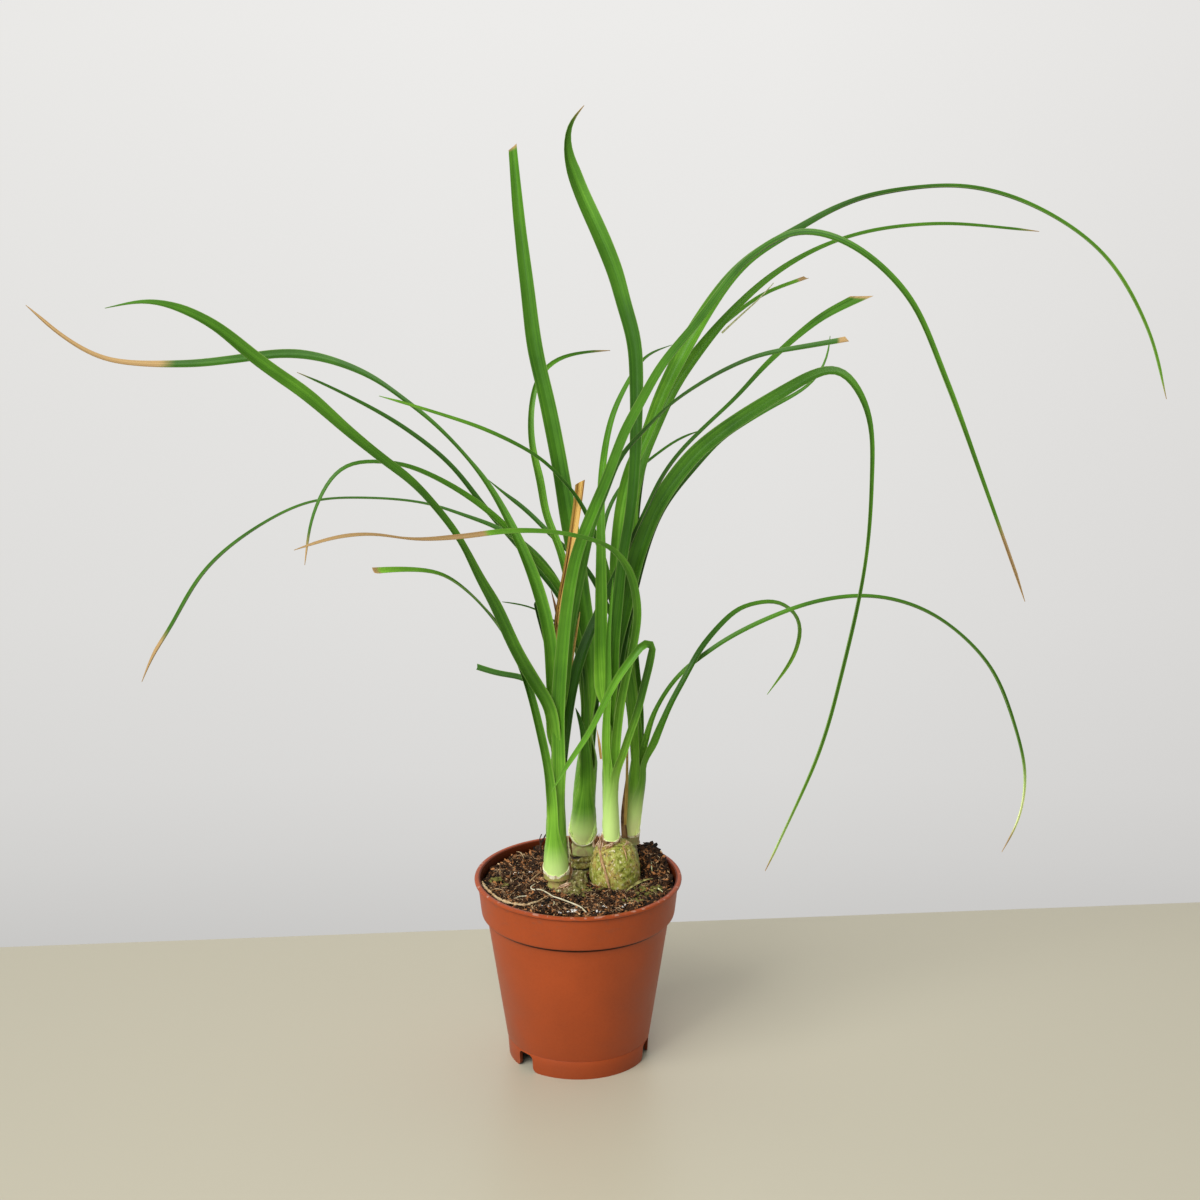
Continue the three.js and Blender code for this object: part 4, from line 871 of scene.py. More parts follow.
def addSoil():
    n, rim, levels = soil["sectors"], soil["rim"], soil["rings"]
    points = []
    for x, y, _ in turned([(rim * r / levels, 0) for r in range(1, levels + 1)], n):
        rough = soil["rough"] * noise.fractal(Vector((x, y, 3)) * 0.55, 0.8, 2.1, 3)
        edge = min(1, (rim - math.hypot(x, y)) / 3 + 0.4)
        points.append((x, y, soilTop(x, y) + min(rough, 0.9) * edge))
    points += turned(soil["below"], n)
    levels += len(soil["below"])
    faces = ringFaces(levels, n, closed=False)
    top, foot, last = len(points), len(points) + 1, (levels - 1) * n
    points += [(0, 0, soilTop(0, 0)), (0, 0, soil["below"][-1][1])]
    for s in range(n):
        faces.append((top, (s + 1) % n, s))
        faces.append((foot, last + s, last + (s + 1) % n))
    faces = [tuple(reversed(f)) for f in faces]
    peat = grainMaterial("peat", *soil["colours"], 600, 0.95, depth=0.0008)
    newPiece("pottingSoil", points, faces, peat, ("soil",), sharp=180)


golden = (1 + math.sqrt(5)) / 2
lumpCorners = [Vector(c).normalized() for c in (
    (-1, golden, 0), (1, golden, 0), (-1, -golden, 0), (1, -golden, 0), (0, -1, golden), (0, 1, golden),
    (0, -1, -golden), (0, 1, -golden), (golden, 0, -1), (golden, 0, 1), (-golden, 0, -1), (-golden, 0, 1))]
lumpSides = [(0, 11, 5), (0, 5, 1), (0, 1, 7), (0, 7, 10), (0, 10, 11), (1, 5, 9), (5, 11, 4), (11, 10, 2),
             (10, 7, 6), (7, 1, 8), (3, 9, 4), (3, 4, 2), (3, 2, 6), (3, 6, 8), (3, 8, 9), (4, 9, 5),
             (2, 4, 11), (6, 2, 10), (8, 6, 7), (9, 8, 1)]


lumpForm = {"tilt": 0.7, "rough": 0.55, "crumbs": (2.1, 0.5), "grains": (1.1, 0.9)}  # how long and how flat


# Small rough lumps at (x, y, z, size), turned every way, as one piece.
def addLumps(name, spots, material, kind):
    points, faces = [], []
    (long, flat), tilt = lumpForm[kind], lumpForm["tilt"]
    for x, y, z, size in spots:
        first, centre = len(points), Vector((x, y, z))
        spin = Euler((dice.uniform(-tilt, tilt), dice.uniform(-tilt, tilt), dice.uniform(0, 2 * math.pi)))
        for c in lumpCorners:
            r = size * (1 + lumpForm["rough"] * noise.noise(c * 1.7 + centre))
            corner = Vector((c.x * r * long, c.y * r, c.z * r * flat))
            corner.rotate(spin)
            points.append(corner + centre)
        faces += [tuple(first + i for i in side) for side in lumpSides]
    newPiece(name, points, faces, material, sharp=30)


# Rods along routes, with a radius at even steps, as one piece.
def addStrands(name, strands, material, sides, replaced=(), step=1.0, knots=0.0):
    points, faces = [], []
    helper = Vector((0.1, 0.2, 1)).normalized()
    for route, radii in strands:
        line = curvePoints(route, step)
        lengths = lengthsAlong(line)
        faces += ringFaces(len(line), sides, len(points))
        for spot, tangent, run in zip(line, tangentsAlong(line), lengths):
            side = tangent.cross(helper)
            side = side.normalized() if side.length > 0.1 else Vector((1, 0, 0))
            other = tangent.cross(side)
            r = along(radii, run / lengths[-1]) * (1 + knots * noise.noise(spot * 0.9))
            points += [spot + side * (r * c) + other * (r * s) for c, s in circle(sides)]
    newPiece(name, points, faces, material, replaced, sharp=70)


bulbs = {
    "left": {"centre": (-4.5, -4), "radius": 10.5, "foot": 63, "top": 82.6, "stub": (-9, -5, 3.9),
        "shoulder": 0.5, "lumps": 1.6, "hump": (2, 2, 4.6, 4.5), "colours": ((0.17, 0.16, 0.03),
        (0.15, 0.075, 0.03))},
    "back": {"centre": (3.5, 18.5), "radius": 7.6, "foot": 71, "top": 89.6, "stub": (2.5, 18, 3.8),
        "shoulder": 0.5, "lumps": 0.5, "creases": [(87.6, 0.45, 1), (84.2, 0.2, 0.5), (80.8, 0.15, 0.9),
        (78.4, 0.1, 0.5)], "colours": ((0.22, 0.21, 0.03), (0.24, 0.15, 0.03))},
    "middle": {"centre": (16, 1), "radius": 11, "foot": 69, "top": 98.8, "stub": (14.5, 1, 3.6),
        "shoulder": 0.52, "lumps": 0.5, "colours": ((0.25, 0.27, 0.03), (0.42, 0.29, 0.07))},
    "right": {"centre": (19.2, 19.5), "radius": 7.3, "foot": 73, "top": 92.6, "stub": (23.4, 19, 3),
        "shoulder": 0.5, "lumps": 0.4, "colours": ((0.22, 0.24, 0.1), (0.33, 0.24, 0.15))},
}
# The bulb's neck below each shoot, as (radius, height), and the torn rim that holds the shoot's foot:
# its height in front, how much higher it is on the left and the right, and how deep its papery edge is.
collars = {
    "left": {"neck": [(4.3, 80.6), (3.75, 82.6), (3.9, 84.4)], "rim": 87.4, "sides": (2.2, 3.5),
        "paper": 1.9, "colours": ((0.34, 0.36, 0.08), (0.42, 0.27, 0.11))},
    "back": {"neck": [(6.4, 87), (5.6, 88.6), (5.1, 90)], "rim": 91.5, "sides": (5.6, 4.2), "paper": 0.7,
        "colours": ((0.4, 0.48, 0.14), (0.34, 0.28, 0.12))},
    "middle": {"neck": [(4.6, 97.4), (4, 98.2)], "rim": 100, "sides": (1.7, 1.9), "paper": 0.9,
        "colours": ((0.2, 0.09, 0.03), (0.45, 0.32, 0.14))},
    "right": {"neck": [(3.7, 90.6), (3.2, 92)], "rim": 94.8, "sides": (1.6, 1.2), "paper": 1.4,
        "colours": ((0.26, 0.3, 0.1), (0.4, 0.28, 0.14))},
}
bulbForm = {
    "levels": 56,
    "count": 96,
    "toStub": (2.5, -0.5),  # the top turns into the stub where it is this much wider than the stub
    "stubShare": 0.9,
    "creaseWidth": 0.55,
    "creaseDepth": 0.8,
    "speck": (0.75, 0.66, 0.42),
    # painted shade in the bulb's creases
    "crease": (0.022, 0.014, 0.008),
}
collarForm = {
    "count": 96,
    "rows": 8,
    "skin": 0.28,  # how far it stands off the shoot outside, and how far inside
    "inside": -0.3,
    "gap": 0.4,  # the rim starts this far above the neck
    "neckRough": 0.25,
    "rimRough": 0.12,
    "torn": 0.35,
    "paper": [(0.3, (0.45, 0.3, 0.14)), (0.5, (0.8, 0.76, 0.52)), (0.7, (0.9, 0.88, 0.7))],
}


# The height of a bulb's middle, and half its height.
def bulbMiddle(bulb):
    return (bulb["foot"] + bulb["top"]) / 2, (bulb["top"] - bulb["foot"]) / 2


def bulbRadius(bulb, z):
    middle, half = bulbMiddle(bulb)
    rise = min(0.9999, max(-0.9999, (z - middle) / half))
    return bulb["radius"] * (1 - rise * rise) ** (bulb["shoulder"] / 2 if rise > 0 else 0.5)


# A place on the front of a bulb, at a distance across from its axis.
def onBulb(bulb, across, z, proud):
    x, y = bulb["centre"]
    back = math.sqrt(max(0, bulbRadius(bulb, z) ** 2 - across * across))
    return x + across, y - back - proud, z


def bulbMaterial(name, green, brown):
    material, shader = newMaterial(name, Roughness=0.65, Specular_IOR_Level=0.35)
    tree = material.node_tree
    patch = speckle(objectPoint(tree), 170, 4, 0.65)
    fine = speckle(objectPoint(tree, (1, 1, 0.8)), 700, 3, 0.7)
    specks = speckle(objectPoint(tree, (1.2, 1, 1)), 620, 2, 0.6)
    colour = mixColour(band(patch, 0.45, 0.6), green, brown)
    # Painted highlight and shade: a lighter copy of the green on the raised grain and a darker one in its
    # hollows.
    colour = mixColour(band(fine, 0.5, 0.62), colour, [1.5 * c + 0.06 for c in green])
    colour = mixColour(band(fine, 0.46, 0.34), colour, [0.25 * c for c in green])
    colour = mixColour(band(specks, 0.6, 0.68, 0, 0.9), colour, bulbForm["speck"])
    # Painted shade in the creases.
    colour = mixColour(band(tonesOf(tree)[0], 0.15, 0.7), colour, bulbForm["crease"])
    setSockets(shader, Base_Color=colour)
    bump(shader, fine, 0.7, 0.0006)
    return material


def addBulb(place, bulb):
    form, levels, count = bulbForm, bulbForm["levels"], bulbForm["count"]
    middle, half = bulbMiddle(bulb)
    centre, stub, stubRadius = Vector(bulb["centre"]), Vector(bulb["stub"][:2]), bulb["stub"][2]
    points, tones = [], []
    for i in range(levels + 1):
        z = middle + half * math.sin(math.pi * (i / levels - 0.5))
        body = bulbRadius(bulb, z) if 0 < i < levels else 0.05
        onStub = smooth(*(stubRadius + more for more in form["toStub"]), body) if i > levels / 2 else 0
        for out in map(Vector, circle(count)):
            spot = (centre + out * body).lerp(stub + out * max(body, stubRadius * form["stubShare"]), onStub)
            rough = noise.fractal(Vector((spot.x, spot.y, z * 0.7)) * 0.45, 0.9, 2.2, 4)
            crease = 0.0
            for height, tilt, depth in bulb.get("creases", []):
                wave = height + tilt * (spot.x - centre.x)
                wave += 0.5 * noise.noise(Vector((spot.x, spot.y, height)) * 0.3)
                crease = max(crease, depth * math.exp(-((z - wave) / form["creaseWidth"]) ** 2))
            spot += out * (bulb["lumps"] * min(rough - 0.35, 0.25) - form["creaseDepth"] * crease)
            lift = 0.0
            if "hump" in bulb and i > levels / 2:
                hx, hy, rise, spread = bulb["hump"]
                lift = rise * math.exp(-((spot.x - hx) ** 2 + (spot.y - hy) ** 2) / (2 * spread ** 2))
                lift *= smooth(middle, bulb["top"], z)
            points.append((spot.x, spot.y, z + lift))
            tones.append((crease, 0, 0, 1))
    title = place.capitalize()
    material = bulbMaterial("bark" + title, *bulb["colours"])
    faces = ringFaces(levels + 1, count)
    newPiece("bulb" + title, points, faces, material, ("bulb_" + place,), None, tones, 80)


def collarMaterial(name, neck, foot):
    material, shader = newMaterial(name, Roughness=0.7, Specular_IOR_Level=0.3)
    tree = material.node_tree
    grain = speckle(objectPoint(tree, (1, 1, 0.5)), 420, 4, 0.65)
    ragged = mathNode("ADD", tonesOf(tree)[0], band(grain, 0.3, 0.7, -0.4, 0.4))
    colour = mixColour(band(grain, 0.38, 0.62), neck, foot)
    colour = mixColour(band(ragged, 0.3, 0.6), colour, ramp(grain, collarForm["paper"]))
    setSockets(shader, Base_Color=colour)
    bump(shader, grain, 0.6, 0.0004)
    return material


# The neck and the torn rim round the foot of a shoot.
def addCollar(place, collar):
    form, count, rows = collarForm, collarForm["count"], collarForm["rows"]
    seedling = seedlings[place]
    x, y, _ = seedling["sheath"][0]
    points, tones = [], []
    for radius, z in collar["neck"]:
        for c, s in circle(count):
            r = radius + form["neckRough"] * noise.fractal(Vector((c * 2, s * 2, z)), 0.8, 2.2, 3)
            points.append((x + r * c, y + r * s, z))
            tones.append((0, 0, 0, 1))
    start = collar["neck"][-1][1] + form["gap"]
    for k in range(2 * rows):
        w = min(k, 2 * rows - 1 - k) / (rows - 1)
        for c, s in circle(count):
            torn = noise.fractal(Vector((c * 2, s * 2, y)), 0.7, 2.4, 4)
            aside = collar["sides"][0 if c < 0 else 1] * (0.5 + 0.5 * s) ** 1.3 * 2.4
            rim = collar["rim"] + min(aside, 1.5 * max(collar["sides"]))
            rim += form["torn"] * collar["paper"] * torn
            z = start + w * (rim - start)
            axis, tube = sheathAt(seedling, max(z, seedling["foot"]))
            r = tube + form["skin" if k < rows else "inside"] + form["rimRough"] * torn * w
            points.append((axis.x + c * r, axis.y + s * r, z))
            depth = collar["paper"] * max(0.35, 0.75 + 0.9 * noise.noise(Vector((c * 1.4, s * 1.4, x + 5))))
            tones.append((smooth(rim - depth, rim - 0.6 * depth, z), 0, 0, 1))
    title = "collar" + place.capitalize()
    faces = ringFaces(len(collar["neck"]) + 2 * rows, count)
    material = collarMaterial(title, *collar["colours"])
    newPiece(title, points, faces, material, ("collar_" + place,), None, tones, 60)


def clearOfBulbs(x, y):
    share, gap = soil["clear"]
    return all(math.dist((x, y), b["centre"]) > b["radius"] * share + gap for b in bulbs.values())


# A random place on the soil, clear of the bulbs and the wall.
def soilSpot(reach):
    while True:
        radius, angle = reach * math.sqrt(dice.random()), dice.uniform(0, 2 * math.pi)
        x, y = radius * math.cos(angle), radius * math.sin(angle)
        if clearOfBulbs(x, y):
            return x, y


def addCrumbs(kind, look):
    spots = []
    small, large = look["size"]
    for _ in range(look["count"]):
        x, y = soilSpot(soil["reach"]["crumbs"])
        size = small + (large - small) * dice.random() ** 1.8 * (1 + 0.5 * heaped(x, y))
        spots.append((x, y, soilTop(x, y) + 0.25 * size + soil["lift"]["crumbs"], size))
    material = grainMaterial(kind + "Crumbs", *look["colours"], 330, 0.9, apart=0.3)
    addLumps(kind + "Crumbs", spots, material, "crumbs")


def addFibres(kind, look):
    strands = []
    for _ in range(look["count"]):
        x, y = soilSpot(soil["reach"]["fibres"])
        turn, run = dice.uniform(0, 2 * math.pi), dice.uniform(*fibreForm["length"])
        route = []
        for _ in range(4):
            turn += dice.uniform(-fibreForm["bend"], fibreForm["bend"])
            route.append((x, y, soilTop(x, y) + dice.uniform(*soil["lift"]["fibres"])))
            x, y = x + run / 3 * math.cos(turn), y + run / 3 * math.sin(turn)
        radius = dice.uniform(*look["radius"])
        if math.hypot(x, y) < soil["reach"]["tips"] and clearOfBulbs(x, y):
            strands.append((route, [radius * 0.6, radius, radius * 0.4]))
    material = grainMaterial(kind + "Fibre", *look["colours"], 300, apart=0.2)
    addStrands(kind + "Fibres", strands, material, 4)


addSoil()
for kind, look in crumbKinds.items():
    addCrumbs(kind, look)
for kind, look in fibreKinds.items():
    addFibres(kind, look)
print("soil")

# Finishes of the roots: dark and light, and how fine the grain is. Each root lies on the soil along
# (x, y), and the cream one and the white one stand for a node each.
rootColours = {"rootCream": ((0.36, 0.2, 0.08), (0.72, 0.56, 0.33), 420),
               "rootWhite": ((0.5, 0.42, 0.24), (0.8, 0.75, 0.56), 300),
               "rootTan": ((0.3, 0.15, 0.06), (0.66, 0.44, 0.22), 350)}
roots = {
    "cream": {"route": [(-41.4, -3.6), (-40.6, -7.7), (-37.9, -14.6), (-33.6, -21.5), (-27.5, -27.6),
        (-22.1, -29), (-17.5, -25), (-13.7, -19.5)], "radius": [0.4, 0.55, 0.5, 0.65, 0.5, 0.55, 0.3],
        "knots": 1.1, "finish": "rootCream"},
    "creamBranch": {"route": [(-38, -13.5), (-36.5, -11), (-34.5, -10), (-32, -12.5)],
        "radius": [0.25, 0.22, 0.1], "knots": 0.3, "finish": "rootCream"},
    "white": {"route": [(-18.6, -4.5), (-20.4, -8), (-19.4, -10.4), (-16.4, -11), (-13, -15.5), (-11, -18),
        (-7.5, -22.5), (-2, -27), (1.2, -32), (3.6, -36.5)],
        "radius": [0.2, 0.32, 0.3, 0.28, 0.34, 0.36, 0.34, 0.3], "knots": 0.3, "finish": "rootWhite"},
    "whiteBranch": {"route": [(-27, -22.5), (-24.8, -19.5), (-22, -18.5)], "radius": [0.15, 0.3, 0.2],
        "knots": 0.4, "finish": "rootWhite"},
    "whiteBit": {"route": [(-10.2, -25), (-10, -27), (-10.5, -29)], "radius": [0.2, 0.3, 0.15],
        "knots": 0.2, "finish": "rootWhite"},
    "backRootlet": {"route": [(-27.6, 32), (-26.5, 32), (-25.3, 28), (-24, 23)],
        "radius": [0.12, 0.25, 0.2, 0.12], "knots": 0.3, "finish": "rootCream"},
}
stick = {"route": [(-22.6, -5), (-19.6, 3), (-16.6, 11)], "radius": [0.2, 0.36, 0.3],
         "colours": ((0.3, 0.16, 0.07), (0.62, 0.42, 0.22))}
# The twig's stem and its spurs, from its foot.
twig = {
    "foot": (-15.5, 28),
    "route": [(0.2, 0, 0.4), (-0.8, 0.2, 2.6), (-1.5, 0.2, 5.2), (-1, 0, 8), (0.3, 0, 10.6), (1.3, 0, 12.6)],
    "radius": [0.8, 0.75, 0.6, 0.6, 0.45, 0.25],
    "spurs": [((-1.1, 0, 7.4), (-1.6, -0.3, 10), (-0.8, -0.4, 12.4)),
              ((-1.4, 0.2, 4.6), (-2.6, 0, 5.4), (-3, 0, 6.4)),
              ((-0.6, 0.1, 2.6), (1, 0.1, 3.4), (1.8, 0, 3))],
    "spurRadius": [0.45, 0.2],
    "colours": ((0.012, 0.007, 0.005), (0.11, 0.055, 0.035)),
}


def lying(piece, above):
    return [(x, y, soilTop(x, y) + above) for x, y in piece["route"]]


def addWood():
    pale, dark = [grainMaterial(name, *wood["colours"], 700)
                  for name, wood in (("paleStick", stick), ("darkTwig", twig))]
    strands = [(lying(stick, soil["lift"]["stick"]), stick["radius"])]
    addStrands("paleStick", strands, pale, 7, ("stick",), 1, 0.3)
    foot = Vector((*twig["foot"], soilTop(*twig["foot"])))
    strands = [([foot + Vector(p) for p in route], radius) for route, radius in (
        (twig["route"], twig["radius"]), *((spur, twig["spurRadius"]) for spur in twig["spurs"]))]
    addStrands("uprightTwig", strands, dark, 7, ("twig",), 0.8, 0.7)


rootMaterials = {name: grainMaterial(name, *look) for name, look in rootColours.items()}
for name, root in roots.items():
    replaced = (name + "_root",) if name in ("cream", "white") else ()
    strands = [(lying(root, root["radius"][1] + soil["lift"]["roots"]), root["radius"])]
    addStrands(name + "Root", strands, rootMaterials[root["finish"]], 8, replaced, 0.5, root["knots"])
addWood()

# Grains and moss: where each clump lies, how far it spreads and how many lumps it has.
clumps = {
    "perlite": {"spots": [(-2.5, -34.5, 2.6, 16), (8, -35, 2, 3), (-27, 8, 2, 3), (-22, 11, 2, 2),
        (-13, -27, 3, 3), (-7, -36, 2, 2), (21, -28, 2, 2), (13, -31, 2, 2)], "size": (0.25, 0.65),
        "lift": 1.3, "colours": ((0.6, 0.56, 0.5), (0.92, 0.9, 0.86))},
    "moss": {"spots": [(-35.5, 1, 2.6, 26), (-31.5, -3, 1.6, 9), (29, -12, 5, 26), (34, -9, 3, 14),
        (25, -21, 4, 14), (-1, -13.5, 4, 26), (4, -10.5, 2, 14), (9, -11, 2, 8)], "size": (0.4, 1),
        "lift": 1.2, "colours": ((0.05, 0.05, 0.01), (0.25, 0.23, 0.05))},
}
for name, clump in clumps.items():
    spots = []
    for cx, cy, spread, count in clump["spots"]:
        for _ in range(count):
            x, y = cx + dice.gauss(0, spread / 2), cy + dice.gauss(0, spread / 2)
            if math.hypot(x, y) < soil["reach"]["grains"]:
                spots.append((x, y, soilTop(x, y) + clump["lift"], dice.uniform(*clump["size"])))
    addLumps(name + "Grains", spots, grainMaterial(name, *clump["colours"], 900), "grains")
print("roots and grains")

for place, bulb in bulbs.items():
    addBulb(place, bulb)
    addCollar(place, collars[place])
# Roots on the front of the middle bulb: (across, height, how proud) along each, and its radius.
bulbRoots = {
    "tanRoot": ([(-7, 97.5, 0.6), (-5.9, 94, 0.2), (-4.5, 89.5, 0.2), (-3.2, 84.5, 0.2), (-2, 79.5, 0.2)],
                [0.7, 0.6, 0.55, 0.6, 0.45]),
    "thinRoot": ([(-6.6, 96.5, 0.5), (-6.2, 93, 0.1), (-5.6, 88, 0.1)], [0.3, 0.25, 0.1]),
    "rightRoot": ([(3.4, 98.4, 0.3), (4.4, 96.4, 0.2), (5.2, 93, 0.1)], [0.3, 0.3, 0.12]),
}
for name, (route, radii) in bulbRoots.items():
    strands = [([onBulb(bulbs["middle"], *spot) for spot in route], radii)]
    addStrands(name, strands, rootMaterials["rootTan"], 8, (), 0.5, 0.5)

# Papery finishes: dark and light, grain, roughness and stretch, and the slot each one goes in.
papers = {
    "brownPaper": (((0.07, 0.032, 0.015), (0.36, 0.2, 0.09), 500, 0.85, (1, 1, 0.3)), "papery_sheath"),
    "goldPaper": (((0.36, 0.2, 0.04), (0.66, 0.48, 0.16), 500, 0.7, (1, 1, 0.15)), "dry_leaf"),
    "palePaper": (((0.42, 0.42, 0.16), (0.72, 0.72, 0.45), 500, 0.7, (1, 1, 0.3)), "papery_sheath"),
    "olivePaper": (((0.1, 0.09, 0.02), (0.5, 0.46, 0.16), 600, 0.7, (1, 1, 0.3)), "dry_leaf"),
}
# Torn bits of old leaves: their route, width, facing and finish.
scraps = {
    "brownStub": {"route": [(-6, 4, 174), (-6.6, 5, 186), (-8, 6, 198), (-10, 7, 206), (-11.2, 8, 211)],
        "width": [2.6, 3, 3.4, 3.8], "face": [(0.3, -1, 0.1), (0.5, -0.8, 0.1)], "finish": "brownPaper"},
    "goldStrip": {"route": [(-3.3, 3, 172), (-2.9, 3, 178), (-1.6, 3, 187), (-0.3, 3, 195.5), (1, 3, 203)],
        "width": [0.8, 1.1, 0.9, 0.6], "face": [(0.3, -1, 0.1), (0.3, -1, 0.1)], "finish": "goldPaper"},
    "goldSheath": {"route": [(20.6, 14, 101), (20.8, 14, 108), (21.3, 14, 119), (21.3, 14, 132),
        (21.6, 14, 143)], "width": [1.2, 1.4, 1.1, 0.7], "face": [(-0.3, -1, 0.1), (-0.3, -1, 0.1)],
        "finish": "goldPaper"},
    "deadSheath": {"route": [(20.6, 15.8, 94), (20.2, 15.8, 98), (19.9, 15.8, 104), (20.2, 15.8, 112),
        (20.8, 15.8, 122)], "width": [3, 2.6, 1.8, 1], "face": [(-0.5, -1, 0.1), (-0.6, -0.8, 0.1)],
        "finish": "brownPaper"},
    "tanSliver": {"route": [(9.9, -4, 139), (9.5, -4, 146), (8.2, -4.5, 152.5)], "width": [0.9, 1.3, 0.6],
        "face": [(0, -1, 0.1), (0, -1, 0.1)], "finish": "goldPaper"},
    "archHair": {"route": [(62, 64, 309), (70.5, 65, 317), (78.6, 65, 324.5), (84, 65, 331)],
        "width": [0.9, 0.7, 0.4], "face": [(0, -0.6, 0.8), (0, -0.6, 0.8)], "finish": "palePaper"},
    "sheathEdge": {"route": [(-4.4, -5.5, 104), (-4, -5.5, 97), (-3.7, -5.5, 91)], "width": [0.5, 0.8, 0.8],
        "face": [(0.8, -0.8, 0), (0.8, -0.8, 0)], "finish": "palePaper"},
    "brownFlakeA": {"route": [(-3.7, -5.5, 91.5), (-3.3, -6, 88.5), (-3.6, -7, 85.5)],
        "width": [1, 2.2, 1.4], "face": [(0.4, -1, 0.1), (0.2, -1, 0.3)], "finish": "brownPaper"},
    "brownFlakeB": {"route": [(-3.6, 9, 95), (-3.2, 9.5, 91), (-2.4, 9, 87)], "width": [1, 2.4, 1.6],
        "face": [(0.2, -1, 0.1), (0.2, -1, 0.3)], "finish": "brownPaper"},
    "brownFlakeC": {"route": [(10.8, -3.4, 100), (13.5, -4.8, 99.3), (17, -4, 100.4)],
        "width": [1, 1.6, 0.8], "face": [(0, -0.9, 0.5), (0, -0.9, 0.5)], "finish": "brownPaper"},
    "curledLeaf": {"route": [(20.5, -16, 82.5), (24, -11, 83), (27, -6.6, 84), (30, -5, 84.4),
        (32.5, -4, 83.4)], "width": [0.4, 0.8, 1.5, 2, 0.5], "face": [(-0.5, -0.6, 0.7), (0.2, -0.6, 0.8),
        (0.5, -0.7, 0.5)], "finish": "olivePaper"},
    "paleBit": {"route": [(31.8, 10.5, 84.5), (31.7, 8, 83.5), (32.2, 5.5, 82.5)], "width": [0.8, 1.9, 0.8],
        "face": [(0, -1, 0.4), (0, -1, 0.4)], "finish": "palePaper"},
    "paleFlake": {"route": [(34.5, -11.5, 82), (36, -13, 82.6), (36.5, -15, 82)], "width": [0.8, 1.9, 0.8],
        "face": [(0, -1, 0.6), (0, -1, 0.6)], "finish": "palePaper"},
}
# Tufts of dry fibre at a shoot's foot: where they start and end, how far they spread, how many there are.
tufts = {
    "middleLeft": {"foot": (9.3, -2.5, 97.2), "tip": (10.4, 0.5, 102), "spread": (1.7, 0.7), "count": 26},
    "middleFront": {"foot": (12.5, -3.6, 98), "tip": (15.5, -4.2, 99.6), "spread": (1.6, 0.8),
        "count": 16},
    "middleRight": {"foot": (19.4, -3.5, 96.6), "tip": (21.5, 0.5, 98.4), "spread": (1.5, 0.9),
        "count": 22},
    "backRight": {"foot": (7.2, 13, 91), "tip": (8.3, 14, 96), "spread": (1.2, 0.7), "count": 16},
    "leftFoot": {"foot": (-8, -9.5, 81.2), "tip": (-3.5, -9.5, 83.6), "spread": (1.8, 1.2), "count": 18},
    "leftSide": {"foot": (-4.2, -6, 84), "tip": (-3.4, -5, 91), "spread": (0.9, 0.5), "count": 14},
}
tuftDyes = {"orangeFibre": ((0.2, 0.08, 0.025), (0.6, 0.34, 0.15)),
            "pinkFibre": ((0.4, 0.22, 0.12), (0.78, 0.6, 0.42))}
tuftRadius = {"foot": 0.14, "middle": (0.14, 0.26), "tip": 0.07}


def near(place, spread):
    return Vector(place) + Vector([dice.gauss(0, spread) for _ in range(3)])


def addTuft(name, tuft, material):
    strands = []
    wide, narrow = tuft["spread"]
    for _ in range(tuft["count"] // 2):
        foot, tip = near(tuft["foot"], wide / 2), near(tuft["tip"], narrow / 2)
        bend = near(foot.lerp(tip, 0.5), 0.5)
        radii = [tuftRadius["foot"], dice.uniform(*tuftRadius["middle"]), tuftRadius["tip"]]
        strands.append(((foot, bend, tip), radii))
    addStrands(name, strands, material, 4)


dyes = {name: grainMaterial(name, *colours, 400) for name, colours in tuftDyes.items()}
for place, tuft in tufts.items():
    for dye, material in dyes.items():
        addTuft(place + dye[0].upper() + dye[1:], tuft, material)
paperMaterials = {name: grainMaterial(name, *look) for name, (look, _) in papers.items()}
for name, scrap in scraps.items():
    addLeaf(name, scrap, paperMaterials[scrap["finish"]])
print("bulbs, collars and scraps")

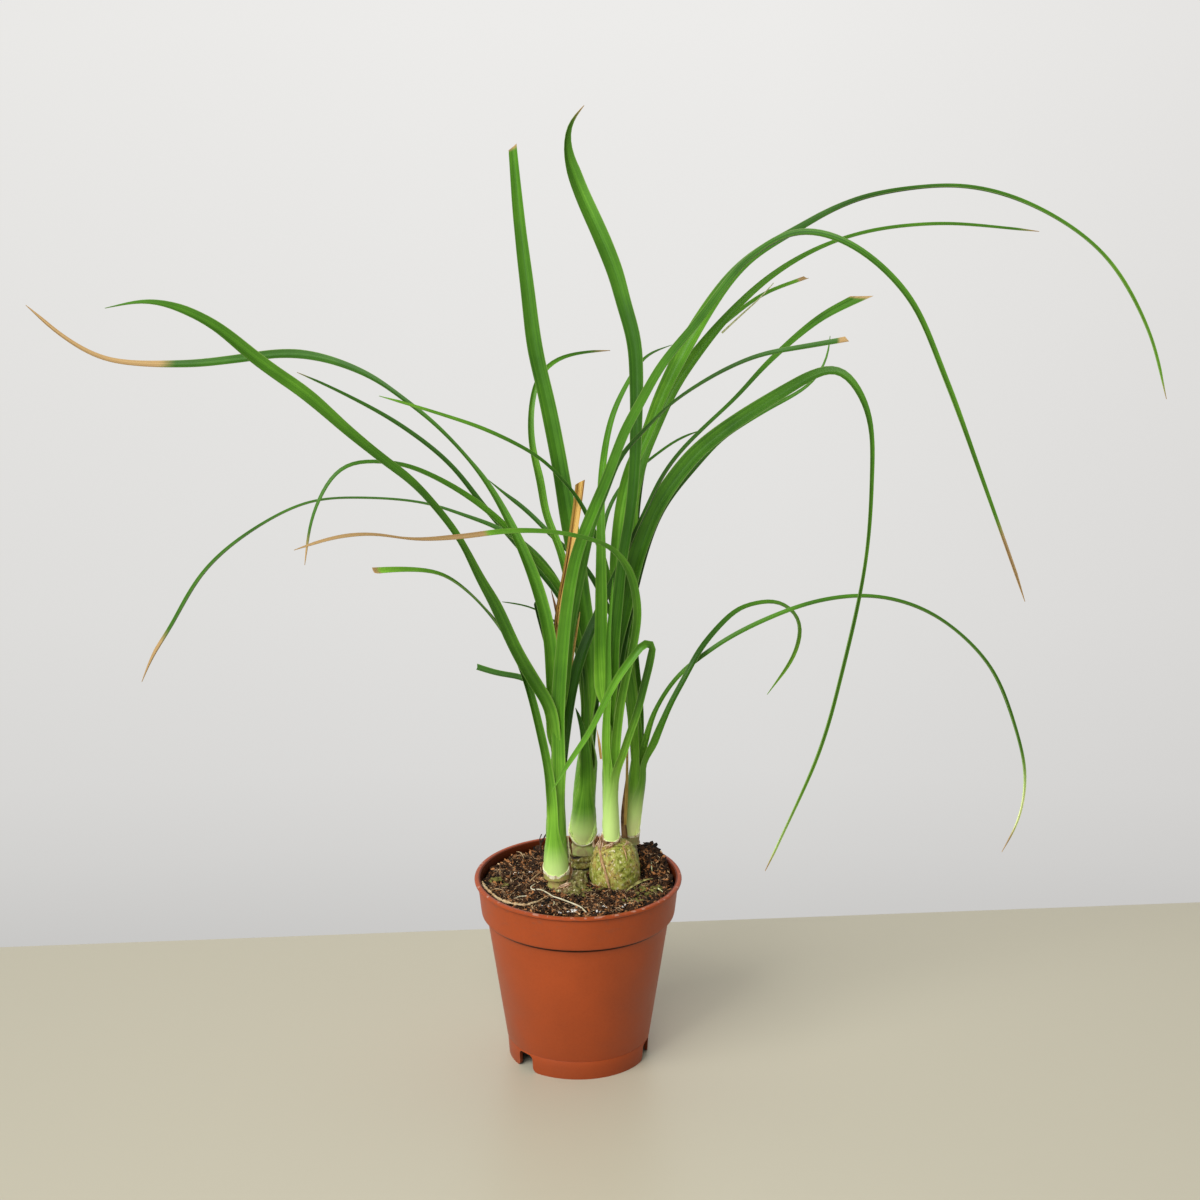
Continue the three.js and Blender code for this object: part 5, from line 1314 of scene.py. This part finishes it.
studio = {
    # the floor's colour from left to right, painted light and shade
    "floor": [(0.0, (0.47, 0.438, 0.333)), (0.35, (0.51, 0.474, 0.36)), (0.55, (0.54, 0.503, 0.381)),
              (1.0, (0.515, 0.48, 0.365))],
    "floorShadeSides": (-0.3, 0.3),  # between these painted light and shade change the floor's colour from side to side
    "edge": {"y": 0.13, "slope": 0.09},  # the floor ends along y = this + slope * x, in metres
    "half": 3,  # how far it reaches otherwise, and how thick it is, in metres
    "thick": 0.03,
    "key": {"place": (-1.4, -1.4, 1.5), "size": 1.6, "power": 42},  # metres and watts
    "fill": {"place": (-0.5, -1.8, 1.6), "size": 1.2, "power": 24},
    "aim": (0, 0, 0.15),
    "sky": (0.31, 0.31, 0.31),
    "backdrop": [(0.0, 0.58), (0.05, 0.624), (0.09, 0.66), (0.16, 0.705), (0.32, 0.752), (0.45, 0.775),
                 (0.87, 0.845), (1.0, 0.85)],  # how bright the far side is, from low to high
    "backdropHeights": (-0.42, -0.12),
    "backdropTint": [(0.0, (0.97, 0.96, 0.94)), (0.35, (1.0, 0.99, 0.972)), (0.65, (1.0, 0.99, 0.972)),
                     (1.0, (0.93, 0.918, 0.9))],  # and its colour from left to right
    "backdropSides": (-0.18, 0.18),
    "turn": (0.0, 0.5),  # the sky turns into the backdrop over these directions
}


def addFloor():
    floor, shader = newMaterial("studioFloor", Roughness=0.42)
    side = axisOf(objectPoint(floor.node_tree), "X")
    # Painted light and shade across the floor from side to side.
    setSockets(shader, Base_Color=ramp(band(side, *studio["floorShadeSides"]), studio["floor"]))
    y, slope = studio["edge"]["y"], studio["edge"]["slope"]
    half, thick = studio["half"], studio["thick"]
    top = [(-half, -half, 0), (half, -half, 0), (half, y + half * slope, 0), (-half, y - half * slope, 0)]
    under = [(px, py, -thick) for px, py, _ in top]
    mesh = bpy.data.meshes.new("studioFloor")
    mesh.from_pydata(top + under, [], [(0, 1, 2, 3), (7, 6, 5, 4), (3, 2, 6, 7)])
    mesh.materials.append(floor)
    newObject("studioFloor", mesh)


def addLight(name, lamp):
    light = bpy.data.lights.new(name, "AREA")
    light.size = lamp["size"]
    light.energy = lamp["power"]
    holder = newObject(name, light)
    holder.location = lamp["place"]
    aim = Vector(studio["aim"]) - Vector(lamp["place"])
    holder.rotation_euler = aim.to_track_quat("-Z", "Y").to_euler()


def addSky():
    world = bpy.data.worlds.new("studioSky")
    bpy.context.scene.world = world
    world.use_nodes = True
    way = axisOf(addNode(world.node_tree, "TexCoord", "Generated"), "X").node.outputs
    heights = band(way["Z"], *studio["backdropHeights"])
    level = ramp(heights, [(place, (v, v, v)) for place, v in studio["backdrop"]])
    tint = ramp(band(way["X"], *studio["backdropSides"]), studio["backdropTint"])
    far = mixColour(1.0, level, tint, "MULTIPLY")
    sky = mixColour(band(way["Y"], *studio["turn"]), studio["sky"], far)
    setSockets(world.node_tree.nodes["Background"], Color=sky)


addFloor()
for name in ("key", "fill"):
    addLight(name + "Light", studio[name])
addSky()
bpy.context.scene.view_settings.view_transform = "Standard"
print("studio")
